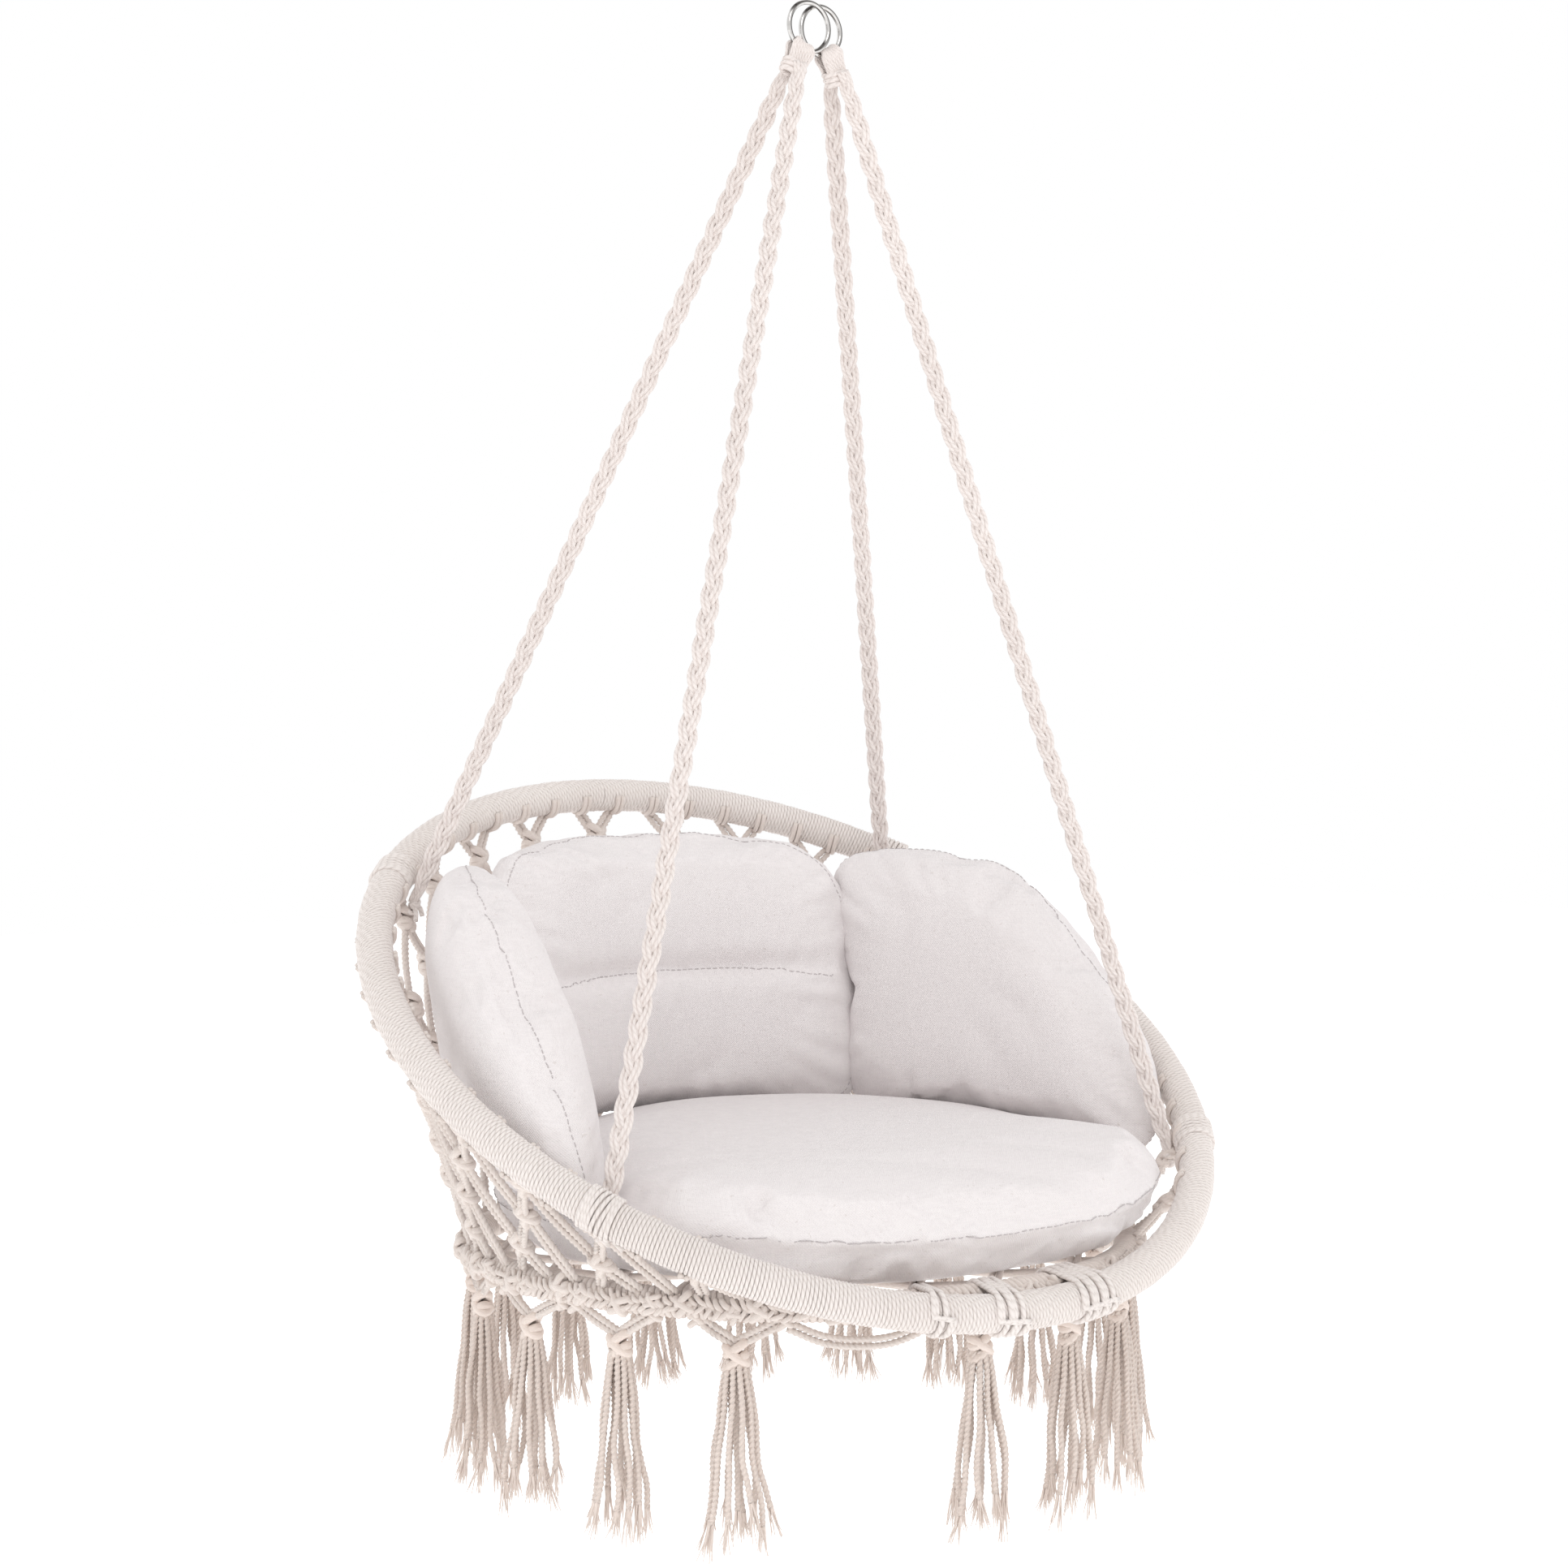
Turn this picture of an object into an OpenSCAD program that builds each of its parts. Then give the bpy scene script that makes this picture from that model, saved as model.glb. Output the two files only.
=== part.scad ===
// Macrame hanging hammock chair.
// A large tilted rim hoop and a smaller level base hoop are joined by a knotted net.
// Four plaited ropes rise to two steel hanging rings, and loose cushions fill the seat.
// Frame: origin where a hook bears on the rings, +Z up, the chair faces -Y, mm.
// Angles round the hoops are measured from the front (-Y) towards the right side (+X).

/* [Hanging rings] */
// Outside diameter of each hanging ring
ring_outer_d = 47.5; // [44:0.5:56]
// Diameter of the ring's steel wire
ring_wire_d = 4.5; // [3.5:0.5:5.5]
// Lean of each ring away from the vertical, degrees
ring_lean = 24; // [20:1:28]

/* [Rim hoop] */
// Diameter of the rim hoop at the centre of its tube
rim_d = 770; // [740:5:800]
// Diameter of the rim hoop's bare steel tube
rim_tube_d = 25; // [20:1:26]
// Wall thickness of both steel tubes
tube_wall = 1.5; // [1:0.25:3]
// Diameter of the rim hoop over its cord wrapping
rim_wrapped_d = 32; // [30:1:34]
// Tilt of the rim hoop, front edge down, degrees
rim_tilt = 31; // [28:1:32]
// Height of the rim hoop's centre below the origin
rim_drop = 901; // [860:1:940]
// Distance of the rim hoop's centre behind the origin
rim_back = 30; // [20:1:40]

/* [Base hoop] */
// Diameter of the base hoop at the centre of its tube
base_d = 584; // [560:2:588]
// Diameter of the base hoop's bare steel tube
base_tube_d = 18; // [14:1:19]
// Diameter of the base hoop over its knotted cover
base_wrapped_d = 25; // [22:1:26]
// Height of the base hoop's centre line above the rim hoop's lowest point
base_above_rim = 8; // [0:1:14]
// Gap between the two hoops' centre lines at the front, front to back
base_set_back = 29; // [29:1:40]

/* [Ropes] */
// Diameter of a plaited hanging rope
rope_d = 18; // [16:1:20]
// Angle round the rim hoop of each front rope
front_rope_angle = 57; // [50:1:62]
// Angle round the rim hoop of each back rope
back_rope_angle = 132; // [125:1:140]

/* [Cushions] */
// Diameter of the round seat cushion
seat_cushion_d = 610; // [560:5:610]
// Height of the seat cushion at its middle
seat_cushion_h = 100; // [80:1:104]
// Thickness of the back cushion
back_cushion_t = 105; // [80:1:110]
// Thickness of each side cushion
side_cushion_t = 92; // [70:1:96]

/* [Tassels] */
// Number of tassel places round the base hoop, one of which stays empty
tassel_places = 18; // [16:1:18]
// Distance from the base hoop's centre line down to the tassel tips
tassel_drop = 205; // [160:1:230]

/* [Hidden] */

$fn = 64;
gap = 0.3;               // clearance between pieces that lie against each other
hair = 0.05;             // clearance between a tube and the cover wound on it

// Rings, strand loops and whippings
ring_r = (ring_outer_d - ring_wire_d) / 2;
wire_r = ring_wire_d / 2;
ring_step = ring_wire_d / 2 + 0.75;      // each ring's offset along Y, so the two pass
loop_half_angle = 27;                    // the folded strands' half width round a ring
loop_layer = 3.6;                        // thickness of the strands folded over the wire
loop_w = 23;
loop_t = 11;
whip_top = 12;                           // distances from the ring's wire down the head
whip_bottom = 26;
whip_w = 26;
whip_t = 17;
strand_spread = 10.5;                    // a rope's offset from the head's middle, along Y
head_room = 200;                         // room for cutting a rope off square under its head

// Hoops
rim_r = rim_d / 2;
rim_cover_r = rim_wrapped_d / 2;
rim_centre = [0, rim_back, -rim_drop];
rim_front = rim_centre + [0, -rim_r * cos(rim_tilt), -rim_r * sin(rim_tilt)];
base_r = base_d / 2;
base_cover_r = base_wrapped_d / 2;
base_centre = [0, rim_front.y + base_set_back + base_r, rim_front.z + base_above_rim];

// Ropes and hitches
rope_r = rope_d / 2;
rope_tail = 3;
rope_lead = 14;                          // length of rope drawn above the cut under a head
hitch_t = 3.3;
hitch_angle = 5.2;

// Lashings: angle of the first belt round the rim hoop, and number of belts
LASHINGS = [[-15, 1], [-6.4, 2], [6.3, 3]];
lash_t = 3.2;
lash_slack = 0.8;                        // room inside a belt, as the hoops curve away
lash_w = 10.8;
belt_steps = 18;
lash_pitch = 1.7;                        // angle between one belt and the next

// Net walls
net_t = 3;
net_step = 5;
net_rim_gap = rim_cover_r + hitch_t + net_t / 2 + 0.9;
net_base_gap = base_cover_r + net_t / 2 + 0.9;
net_front_angle = 32;
net_back_angle = 148;
net_joint = 0.3;
seat_net_t = 4;
seat_net_r = base_r - base_cover_r - lash_t - 0.8;

// Tassels
hanger_r = 38;
hanger_cord_r = 3.5;
hanger_half_angle = 55;
hanger_drop = 28.5;
tassel_knot_r = 8.5;
tassel_knot_h = 15;
tassel_tip_r = 22;
tassel_clear = 0.7;
tassel_empty_angle = -27;
tassel_pitch = 360 / tassel_places;
TASSEL_ANGLES = [for (i = [1:tassel_places - 1]) tassel_empty_angle + i * tassel_pitch];

// Cushions
seat_cushion_r = seat_cushion_d / 2;
seat_cushion_y = 5;
seat_rest = base_centre.z + seat_net_t / 2 + 3;
seat_flat_r = 0.66 * seat_cushion_r;
seat_seam = 0.41;                        // share of the height below the edge seam
seat_crown = 0.8;                        // how full its top is: less is fuller
edge_step = 10;                          // angle between points of its rounded edge
back_r = 297;                            // outside of the back cushion at its foot
back_rake = 28;                          // how far its top lies further back
back_foot = base_centre.z + 101;
back_top = back_foot + 250;
back_half_angle = 48;
back_round = 40;
// A side cushion curves about its own upright axis, across the chair from it
side_axis_x = -504;
side_axis_y = -235;
side_r = 824;                            // middle of its thickness at its foot
side_slope = 0.15;                       // how far it leans out for each unit of height
side_from = 101.5;                        // angles about that axis where it starts and ends
side_to = 120.5;
side_foot = base_centre.z + 86;
side_top = base_centre.z + 329;
side_round = 34;
side_foot_trim = 12;                     // the outer half of its foot is set this far in
side_above_rim = 62;                     // how far it rises above the rim hoop's plane

function unit(v) = v / norm(v);
function tassel_name(i) = str("tassel_", i < 9 ? "0" : "", i + 1);
function rim_point(a) =
    rim_centre + rim_r * [sin(a), -cos(a) * cos(rim_tilt), -cos(a) * sin(rim_tilt)];
function rim_tangent(a) = [cos(a), sin(a) * cos(rim_tilt), sin(a) * sin(rim_tilt)];
function base_point(a) = base_centre + base_r * [sin(a), -cos(a), 0];
function base_tangent(a) = [cos(a), sin(a), 0];
function ring_centre(side) =
    [side * ring_r * sin(ring_lean), side * ring_step, wire_r - ring_r * cos(ring_lean)];
function head_point(side, d) =
    ring_centre(side) + (ring_r + d) * [side * sin(ring_lean), 0, -cos(ring_lean)];
function rope_top(side, back) = head_point(side, whip_bottom) + [0, back * strand_spread, 0];
function rope_angle(side, back) = side * (back > 0 ? back_rope_angle : front_rope_angle);
// Unit vector square to the rope and to the hoop, pointing into the seat
function bearing(side, back) =
    let (c = rim_point(rope_angle(side, back)),
         n = unit(cross(rim_tangent(rope_angle(side, back)), c - rope_top(side, back))))
    n * [-c.x, -c.y, 0] > 0 ? n : -n;
function rope_foot(side, back) =
    rim_point(rope_angle(side, back))
    + bearing(side, back) * (rim_cover_r + rope_r + 0.5);
function rope_line(side, back) = unit(rope_foot(side, back) - rope_top(side, back));

// Length along a slanting unit vector that stands off a hoop by d
function slant_length(d, v, tangent) = d / sqrt(1 - pow(v * tangent, 2));

// Places its children with their Z axis along v, at p
module along(p, v) {
    translate(p)
        rotate([0, acos(v.z / norm(v)), atan2(v.y, v.x)])
            children();
}

// A hoop's solid between two radii round its tube, over all or part of a turn
module hoop_shell(r, outer, inner, start = 0, turn = 360) {
    rotate([0, 0, start - 90])
        rotate_extrude(angle = turn, $fn = 180)
            translate([r, 0])
                difference() {
                    circle(r = outer);
                    if (inner > 0) circle(r = inner);
                }
}

module at_rim() {
    translate(rim_centre) rotate([rim_tilt, 0, 0]) children();
}

module at_base() {
    translate(base_centre) children();
}

// Places its children in a rope head's own frame, with Z up the head
module at_head(side, d) {
    translate(head_point(side, d)) rotate([0, -side * ring_lean, 0]) children();
}

// A ring's solid in its own upright plane
module ring_shell(side, section_r, half_angle = 180) {
    middle = -90 + side * ring_lean;
    translate(ring_centre(side))
        rotate([90, 0, 0])
            rotate([0, 0, middle - half_angle])
                rotate_extrude(angle = 2 * half_angle, $fn = 96)
                    translate([ring_r, 0])
                        circle(r = section_r);
}

module hanging_ring(side) {
    color("silver") ring_shell(side, wire_r);
}

// Rope strands folded over the ring's wire and gathered towards the whipping
module strand_loop(side) {
    color("antiquewhite")
        difference() {
            union() {
                ring_shell(side, wire_r + loop_layer, loop_half_angle);
                at_head(side, whip_top - gap)
                    translate([-loop_w / 2, -loop_t / 2, 0])
                        cube([loop_w, loop_t, whip_top]);
            }
            ring_shell(side, wire_r + gap / 2);
        }
}

module stadium(w, t) {
    square([w - t, t], center = true);
    for (s = [-1, 1]) translate([s * (w - t) / 2, 0]) circle(d = t);
}

// Cord wound round the gathered strands
module whipping(side) {
    color("linen")
        at_head(side, whip_bottom)
            linear_extrude(whip_bottom - whip_top)
                stadium(whip_w, whip_t);
}

// Plaited rope from the whipping to the inside of the rim hoop
module rope(side, back) {
    top = rope_top(side, back);
    line = rope_line(side, back);
    length = norm(rope_foot(side, back) - top) + rope_tail;
    color("antiquewhite")
        difference() {
            along(top - rope_lead * line, line) cylinder(r = rope_r, h = length + rope_lead);
            at_head(side, whip_bottom + gap)
                translate([-head_room / 2, -head_room / 2, 0])
                    cube(head_room);
        }
}

// Cord wound round the rim hoop where a rope is tied on
module hitch(side, back) {
    color("linen")
        difference() {
            at_rim()
                hoop_shell(rim_r, rim_cover_r + hitch_t, rim_cover_r + hair,
                    rope_angle(side, back) - hitch_angle / 2, hitch_angle);
            along(rope_top(side, back), rope_line(side, back))
                cylinder(r = rope_r + gap, h = 2 * rim_drop);
        }
}

module rim_tube() {
    color("gray")
        at_rim() hoop_shell(rim_r, rim_tube_d / 2, rim_tube_d / 2 - tube_wall);
}

module rim_wrapping() {
    color("antiquewhite")
        at_rim() hoop_shell(rim_r, rim_cover_r, rim_tube_d / 2 + hair);
}

module base_tube() {
    color("gray")
        at_base() hoop_shell(base_r, base_tube_d / 2, base_tube_d / 2 - tube_wall);
}

module base_knot_cover() {
    color("linen")
        at_base() hoop_shell(base_r, base_cover_r, base_tube_d / 2 + hair);
}

// Outline of a belt round both hoops' covers and skin more, in the plane across them
function belt_outline(reach, skin) =
    let (big = rim_cover_r + skin,
         small = base_cover_r + skin,
         lift = asin((big - small) / reach),
         big_turn = 180 + 2 * lift,
         small_turn = 180 - 2 * lift)
    concat(
        [for (i = [0:belt_steps])
            let (t = 90 - lift + big_turn * i / belt_steps)
            big * [cos(t), sin(t)]],
        [for (i = [0:belt_steps])
            let (t = -90 + lift + small_turn * i / belt_steps)
            [reach + small * cos(t), small * sin(t)]]);

// Belt-shaped block round both hoops: skin is its depth over the hoops' covers
module belt_block(a, skin, width) {
    rim = rim_point(a);
    base_a = atan2(rim.x, base_centre.y - rim.y);
    axis = unit(rim_tangent(a) + base_tangent(base_a));
    span = base_point(base_a) - rim;
    level = span - (span * axis) * axis;
    reach = norm(level);
    across = unit(cross(axis, level));
    multmatrix([for (i = [0:2]) [level[i] / reach, across[i], axis[i], rim[i]]])
        translate([0, 0, -width / 2])
            linear_extrude(width)
                polygon(belt_outline(reach, skin));
}

function belt_angles(index) =
    [for (i = [0:LASHINGS[index][1] - 1]) LASHINGS[index][0] + i * lash_pitch];

// Cord lashed round both hoops where they run side by side at the front
module lashing(index) {
    color("linen")
        for (a = belt_angles(index))
            difference() {
                belt_block(a, lash_t, lash_w);
                belt_block(a, lash_slack, lash_w + 2);
            }
}

// Outer shape of the knotted net between two angles, as a thin wall from hoop to hoop
module net_wall(from, to) {
    steps = round((to - from) / net_step);
    angles = [for (i = [0:steps]) from + (to - from) * i / steps];
    points = [for (a = angles)
        let (top = rim_point(a),
             foot = base_point(a),
             fall = unit(foot - top),
             out = [sin(a), -cos(a), 0] * net_t / 2,
             high = top + fall * slant_length(net_rim_gap, fall, rim_tangent(a)),
             low = foot - fall * slant_length(net_base_gap, fall, base_tangent(a)))
        each [high + out, high - out, low - out, low + out]];
    // The inner and the outer wall are split along the same diagonals
    walls = [for (i = [0:steps - 1]) for (k = [0:3])
        let (p = 4 * i + k, q = 4 * i + (k + 1) % 4)
        each k < 3 ? [[p, q, p + 4], [q, q + 4, p + 4]] : [[p, q, q + 4], [p, q + 4, p + 4]]];
    last = 4 * steps;
    ends = [[3, 2, 1], [3, 1, 0], [last, last + 1, last + 2], [last, last + 2, last + 3]];
    polyhedron(points, concat(walls, ends), convexity = 6);
}

module net_left() {
    color("antiquewhite") net_wall(-net_back_angle, -net_front_angle);
}

module net_back() {
    color("antiquewhite") net_wall(net_back_angle + net_joint, 360 - net_back_angle - net_joint);
}

module net_right() {
    color("antiquewhite") net_wall(net_front_angle, net_back_angle);
}

// Knotted net across the base hoop, under the seat cushion
module seat_net() {
    color("antiquewhite")
        at_base()
            translate([0, 0, -seat_net_t / 2])
                cylinder(r = seat_net_r, h = seat_net_t, $fn = 180);
}

// Cord scallops under the base hoop, one over each tassel
module tassel_hangers() {
    color("linen")
        difference() {
            for (a = TASSEL_ANGLES)
                translate(base_point(a) - [0, 0, hanger_drop - hanger_r])
                    rotate([90, 0, a])
                        rotate([0, 0, -90 - hanger_half_angle])
                            rotate_extrude(angle = 2 * hanger_half_angle, $fn = 96)
                                translate([hanger_r, 0])
                                    circle(r = hanger_cord_r);
            at_base() hoop_shell(base_r, base_cover_r + hair, 0);
            for (i = [0:len(LASHINGS) - 1])
                for (a = belt_angles(i))
                    belt_block(a, lash_t + gap, lash_w + 2);
        }
}

// Knot and hanging cords of one tassel
module tassel(index) {
    knot_top = hanger_drop + hanger_cord_r + tassel_clear;
    color("wheat")
        translate(base_point(TASSEL_ANGLES[index])) {
            translate([0, 0, -knot_top - tassel_knot_h])
                cylinder(r = tassel_knot_r, h = tassel_knot_h);
            translate([0, 0, -tassel_drop])
                cylinder(r1 = tassel_tip_r, r2 = tassel_knot_r,
                    h = tassel_drop - knot_top - tassel_knot_h);
        }
}

function quarter(cx, cy, rx, ry, from, steps = 8) =
    [for (i = [0:steps]) [cx + rx * cos(from + 90 * i / steps), cy + ry * sin(from + 90 * i / steps)]];

// Round crowned pad
module seat_cushion() {
    low = seat_cushion_h * seat_seam;
    high = seat_cushion_h - low;
    roll = seat_cushion_r - seat_flat_r;
    color("whitesmoke")
        translate([0, seat_cushion_y, seat_rest])
            rotate_extrude($fn = 180)
                polygon(concat(
                    [[0, 0]],
                    quarter(seat_flat_r, low, roll, low, -90),
                    [for (t = [edge_step:edge_step:90])
                        [seat_cushion_r * cos(t), low + high * pow(sin(t), seat_crown)]],
                    [[0, seat_cushion_h]]));
}

// Curved pad against the back of the net
module back_cushion() {
    color("whitesmoke")
        translate([0, base_centre.y, 0])
            rotate([0, 0, 90 - back_half_angle])
                rotate_extrude(angle = 2 * back_half_angle, $fn = 180)
                    polygon([
                        [back_r - back_cushion_t, back_foot + back_round],
                        [back_r - back_cushion_t + back_round, back_foot],
                        [back_r - back_round / 2, back_foot],
                        [back_r, back_foot + back_round / 2],
                        [back_r + back_rake, back_top - back_round],
                        [back_r + back_rake - back_round / 2, back_top],
                        [back_r + back_rake - back_cushion_t + back_round, back_top],
                        [back_r + back_rake - back_cushion_t, back_top - back_round]]);
}

function side_mid(z) = side_r + side_slope * (z - side_foot);

// Pillow against the right side of the net, its top sloping down to the front with the rim
module side_pad() {
    half = side_cushion_t / 2;
    low = side_foot + side_round;
    high = side_top - side_round;
    difference() {
        translate([side_axis_x, side_axis_y, 0])
            rotate([0, 0, side_from - 90])
                rotate_extrude(angle = side_to - side_from, $fn = 180)
                    polygon([
                        [side_mid(side_foot) - half + side_round, side_foot],
                        [side_mid(side_foot) + half - side_round - side_foot_trim, side_foot],
                        [side_mid(low) + half - side_foot_trim, low],
                        [side_mid(high) + half, high],
                        [side_mid(side_top) + half - side_round, side_top],
                        [side_mid(side_top) - half + side_round, side_top],
                        [side_mid(high) - half, high],
                        [side_mid(low) - half, low]]);
        at_rim()
            translate([-rim_d, -rim_d, side_above_rim])
                cube([2 * rim_d, 2 * rim_d, rim_d]);
    }
}

module side_cushion(side) {
    color("whitesmoke") mirror([side < 0 ? 1 : 0, 0, 0]) side_pad();
}

hanging_ring(-1);  // hanging_ring_left
hanging_ring(1);  // hanging_ring_right
strand_loop(-1);  // strand_loop_left
strand_loop(1);  // strand_loop_right
whipping(-1);  // whipping_left
whipping(1);  // whipping_right
rope(-1, -1);  // rope_left_front
rope(-1, 1);  // rope_left_back
rope(1, -1);  // rope_right_front
rope(1, 1);  // rope_right_back
hitch(-1, -1);  // hitch_left_front
hitch(-1, 1);  // hitch_left_back
hitch(1, -1);  // hitch_right_front
hitch(1, 1);  // hitch_right_back
rim_tube();
rim_wrapping();
base_tube();
base_knot_cover();
lashing(0);  // lashing_left
lashing(1);  // lashing_middle
lashing(2);  // lashing_right
net_left();
net_back();
net_right();
seat_net();
tassel_hangers();
seat_cushion();
back_cushion();
side_cushion(-1);  // side_cushion_left
side_cushion(1);  // side_cushion_right
for (i = [0:tassel_places - 2])
    tassel(i);
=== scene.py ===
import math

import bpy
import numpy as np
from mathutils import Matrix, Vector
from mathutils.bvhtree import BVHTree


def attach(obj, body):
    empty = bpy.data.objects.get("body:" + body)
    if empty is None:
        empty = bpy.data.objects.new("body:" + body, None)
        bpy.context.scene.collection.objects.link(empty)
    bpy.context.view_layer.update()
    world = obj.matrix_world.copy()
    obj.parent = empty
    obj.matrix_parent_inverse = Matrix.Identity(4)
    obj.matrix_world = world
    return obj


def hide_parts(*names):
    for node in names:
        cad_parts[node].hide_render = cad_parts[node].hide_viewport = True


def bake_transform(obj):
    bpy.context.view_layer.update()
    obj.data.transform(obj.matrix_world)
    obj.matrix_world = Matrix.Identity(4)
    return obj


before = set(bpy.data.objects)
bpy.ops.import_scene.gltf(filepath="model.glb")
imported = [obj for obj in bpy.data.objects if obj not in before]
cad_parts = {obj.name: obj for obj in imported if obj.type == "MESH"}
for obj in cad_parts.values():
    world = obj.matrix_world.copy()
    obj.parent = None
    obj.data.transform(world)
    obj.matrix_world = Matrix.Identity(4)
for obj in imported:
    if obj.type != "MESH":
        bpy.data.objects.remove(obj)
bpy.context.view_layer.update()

# Looks of the macrame hanging hammock chair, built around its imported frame.
# Lengths are millimetres until a mesh is made, where they become metres. Exceptions say so.
# The frame is the CAD model's: origin where a hook bears on the rings, +Z up, and the chair
# faces -Y. Angles round the hoops are degrees, from the front (-Y) towards +X.
# A side is -1 for the left as seen from the front (-X), and 1 for the right.

MM = 0.001

# Camera: the photograph's viewing angle, from a fit to both hoops, the ropes and the rings
CAMERA_PLACE = (-1509.7, -1989.1, -609.3)
CAMERA_AZIMUTH = -36.575
CAMERA_ELEVATION = 1.692
CAMERA_VIEW = 31.158                     # degrees across the picture

# Rings
RING_R = 21.5                            # to the middle of the wire
WIRE_R = 2.25
RING_STEP = 3.0                          # each ring's place to one side of the other, along Y
RING_LEAN = math.radians(24)

# Rope heads: where each pair of ropes is folded over its ring and whipped
WHIP_TOP = 12                            # below the ring's wire
WHIP_BOTTOM = 26
STRAND_SPREAD = 10.5                     # from the head's middle to each rope, along Y
HEAD_STRANDS = 9
HEAD_STRAND_R = 1.5
HEAD_FAN = math.radians(26)
HEAD_CLEARANCE = (0.9, 1.4)              # from the ring's wire to each layer of strands
WHIP_TURNS = 3
WHIP_PITCH = 4.4
WHIP_CORD_R = 2.4

# Hoops: radius to the middle of the tube, and radius of the wrapped tube
RIM_R = 385
RIM_COVER_R = 16
RIM_TILT = math.radians(31)
RIM_CENTRE = np.array([0, 30, -901.0])
BASE_R = 292
BASE_COVER_R = 12.5
BASE_CENTRE = np.array([0, 20.99, -1091.29])

# Winding of the rim, and the band of half hitches and knots round the base
RIM_PITCH = 3.3
RIM_CORD_R = 1.75
BASE_PITCH = 5.8
BASE_CORD_R = 2.9
BAND_HITCHES = 270
BAND_KNOT = 8.5

# Ropes
ROPE_ANGLE = {-1: 57, 1: 132}            # by front (-1) and back (1)
ROPE_REACH = 25.5                        # from the rim's centre line to a rope's
PLAIT_PERIOD = 68
PLAIT_SWING = 4.6
PLAIT_RISE = 2.5
CORDS_IN_STRAND = 4
PLAIT_CORD_R = 1.75
PLAIT_CORE_R = 1.9

# Hitches that hold the ropes' feet on the rim
HITCH_TURNS = 8
HITCH_PITCH = 3.7
HITCH_CORD_R = 1.9
HITCH_KNOT = 7.0

# Lashings at the front: their middle angle and number of turns
LASHING_TURNS = {"left": (-15, 3), "middle": (-5.5, 6), "right": (8, 9)}
LASHING_PITCH = 0.57                     # degrees
LASHING_CORD_R = 2.3

# Net
NET_COLUMNS = 30
NET_PITCH = 360 / NET_COLUMNS
NET_FIRST_ROW = 40
NET_ROW = 58
NET_MOST_ROWS = 8
NET_FRONT_ANGLE = 30                     # no net within this of the front
NET_CORD_R = 3.2
NET_KNOT = 12.0
NET_SPACING = 2.3                        # between the points of a net cord
SEAT_NET_R = 275
SEAT_NET_GAP = 62
SEAT_NET_CORD_R = 2.9

# Tassels
TASSEL_COUNT = 17
TASSEL_EMPTY = -27                       # angle of the place that has none
TASSEL_PITCH = 20
TASSEL_DROP = 205
TASSEL_KNOT = 12.5
KNOT_DROP = 39                           # middle of a tassel's knot below the base hoop
STRANDS = 11
STRAND_R = 2.9
FRAY = 30
FIBRES = 11

# Cushions
SEAT_R = 303
SEAT_Y = 5
SEAT_REST = -1086.3
SEAT_H = 99
SEAM_SHARE = 0.41                        # height of the seat's seam, as a share of SEAT_H
SEAT_CORNER = 28                         # its edge towards the front ropes, further out and up
CUSHION_VOXEL = 6
CLOTH_STEPS = 20
CHANNEL_W = 10
CHANNEL_Z = -868                         # height of the back cushion's sewn channel
BACK_FOOT = BASE_CENTRE[2] + 101
SIDE_FOOT = BASE_CENTRE[2] + 86
SIDE_AXIS = (-504, -235)
NET_ROOM = 13                            # kept between the cushions and the net's middle

# Floor
FLOOR_Z = -1560


def unit(v):
    v = np.asarray(v, float)
    return v / np.linalg.norm(v, axis=-1, keepdims=True)


def turned(degrees):
    """Sine and cosine of an angle round a hoop."""
    a = np.radians(degrees)
    return np.sin(a), np.cos(a)


# ---------------------------------------------------------------- places on the frame

def rim_out(a):
    """Unit vector from the rim hoop's centre towards angle a."""
    s, c = turned(a)
    return np.stack([s, -c * math.cos(RIM_TILT), -c * math.sin(RIM_TILT)], -1)


RIM_UP = np.array([0, -math.sin(RIM_TILT), math.cos(RIM_TILT)])


def rim_point(a, out=0, up=0):
    """A point beside the rim hoop's centre line at angle a, moved out and up from it."""
    out, up = np.asarray(out, float)[..., None], np.asarray(up, float)[..., None]
    return RIM_CENTRE + rim_out(a) * (RIM_R + out) + RIM_UP * up


def rim_along(a):
    """Unit vector along the rim hoop at angle a."""
    return unit(np.cross(RIM_UP, rim_out(a)))


def base_out(a):
    """Unit vector from the base hoop's centre towards angle a."""
    s, c = turned(a)
    return np.stack([s, -c, np.zeros_like(s)], -1)


BASE_UP = np.array([0, 0, 1.0])


def base_point(a, out=0, up=0):
    """A point beside the base hoop's centre line at angle a, moved out and up from it."""
    out, up = np.asarray(out, float)[..., None], np.asarray(up, float)[..., None]
    return BASE_CENTRE + base_out(a) * (BASE_R + out) + BASE_UP * up


def head_point(side, d, across=0.0, depth=0.0):
    """A point d below a ring's wire, across the head and in depth (along Y)."""
    down = np.array([side * math.sin(RING_LEAN), 0, -math.cos(RING_LEAN)])
    sideways = np.array([math.cos(RING_LEAN), 0, side * math.sin(RING_LEAN)])
    return ring_centre(side) + down * (RING_R + d) + sideways * across + [0, depth, 0]


def ring_centre(side):
    return np.array([side * RING_R * math.sin(RING_LEAN), side * RING_STEP,
                     WIRE_R - RING_R * math.cos(RING_LEAN)])


def wall_point(a, d, out=0.0):
    """A point on the net's wall, d below the rim's centre line, pushed out by out."""
    top, foot = rim_point(a), base_point(a)
    fall = unit(foot - top)
    return top + fall * np.asarray(d, float)[..., None] + base_out(a) * out


def wall_height(a):
    """Distance between the two hoops' centre lines at angle a."""
    return float(np.linalg.norm(base_point(a) - rim_point(a)))


# ---------------------------------------------------------------- meshes

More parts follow.
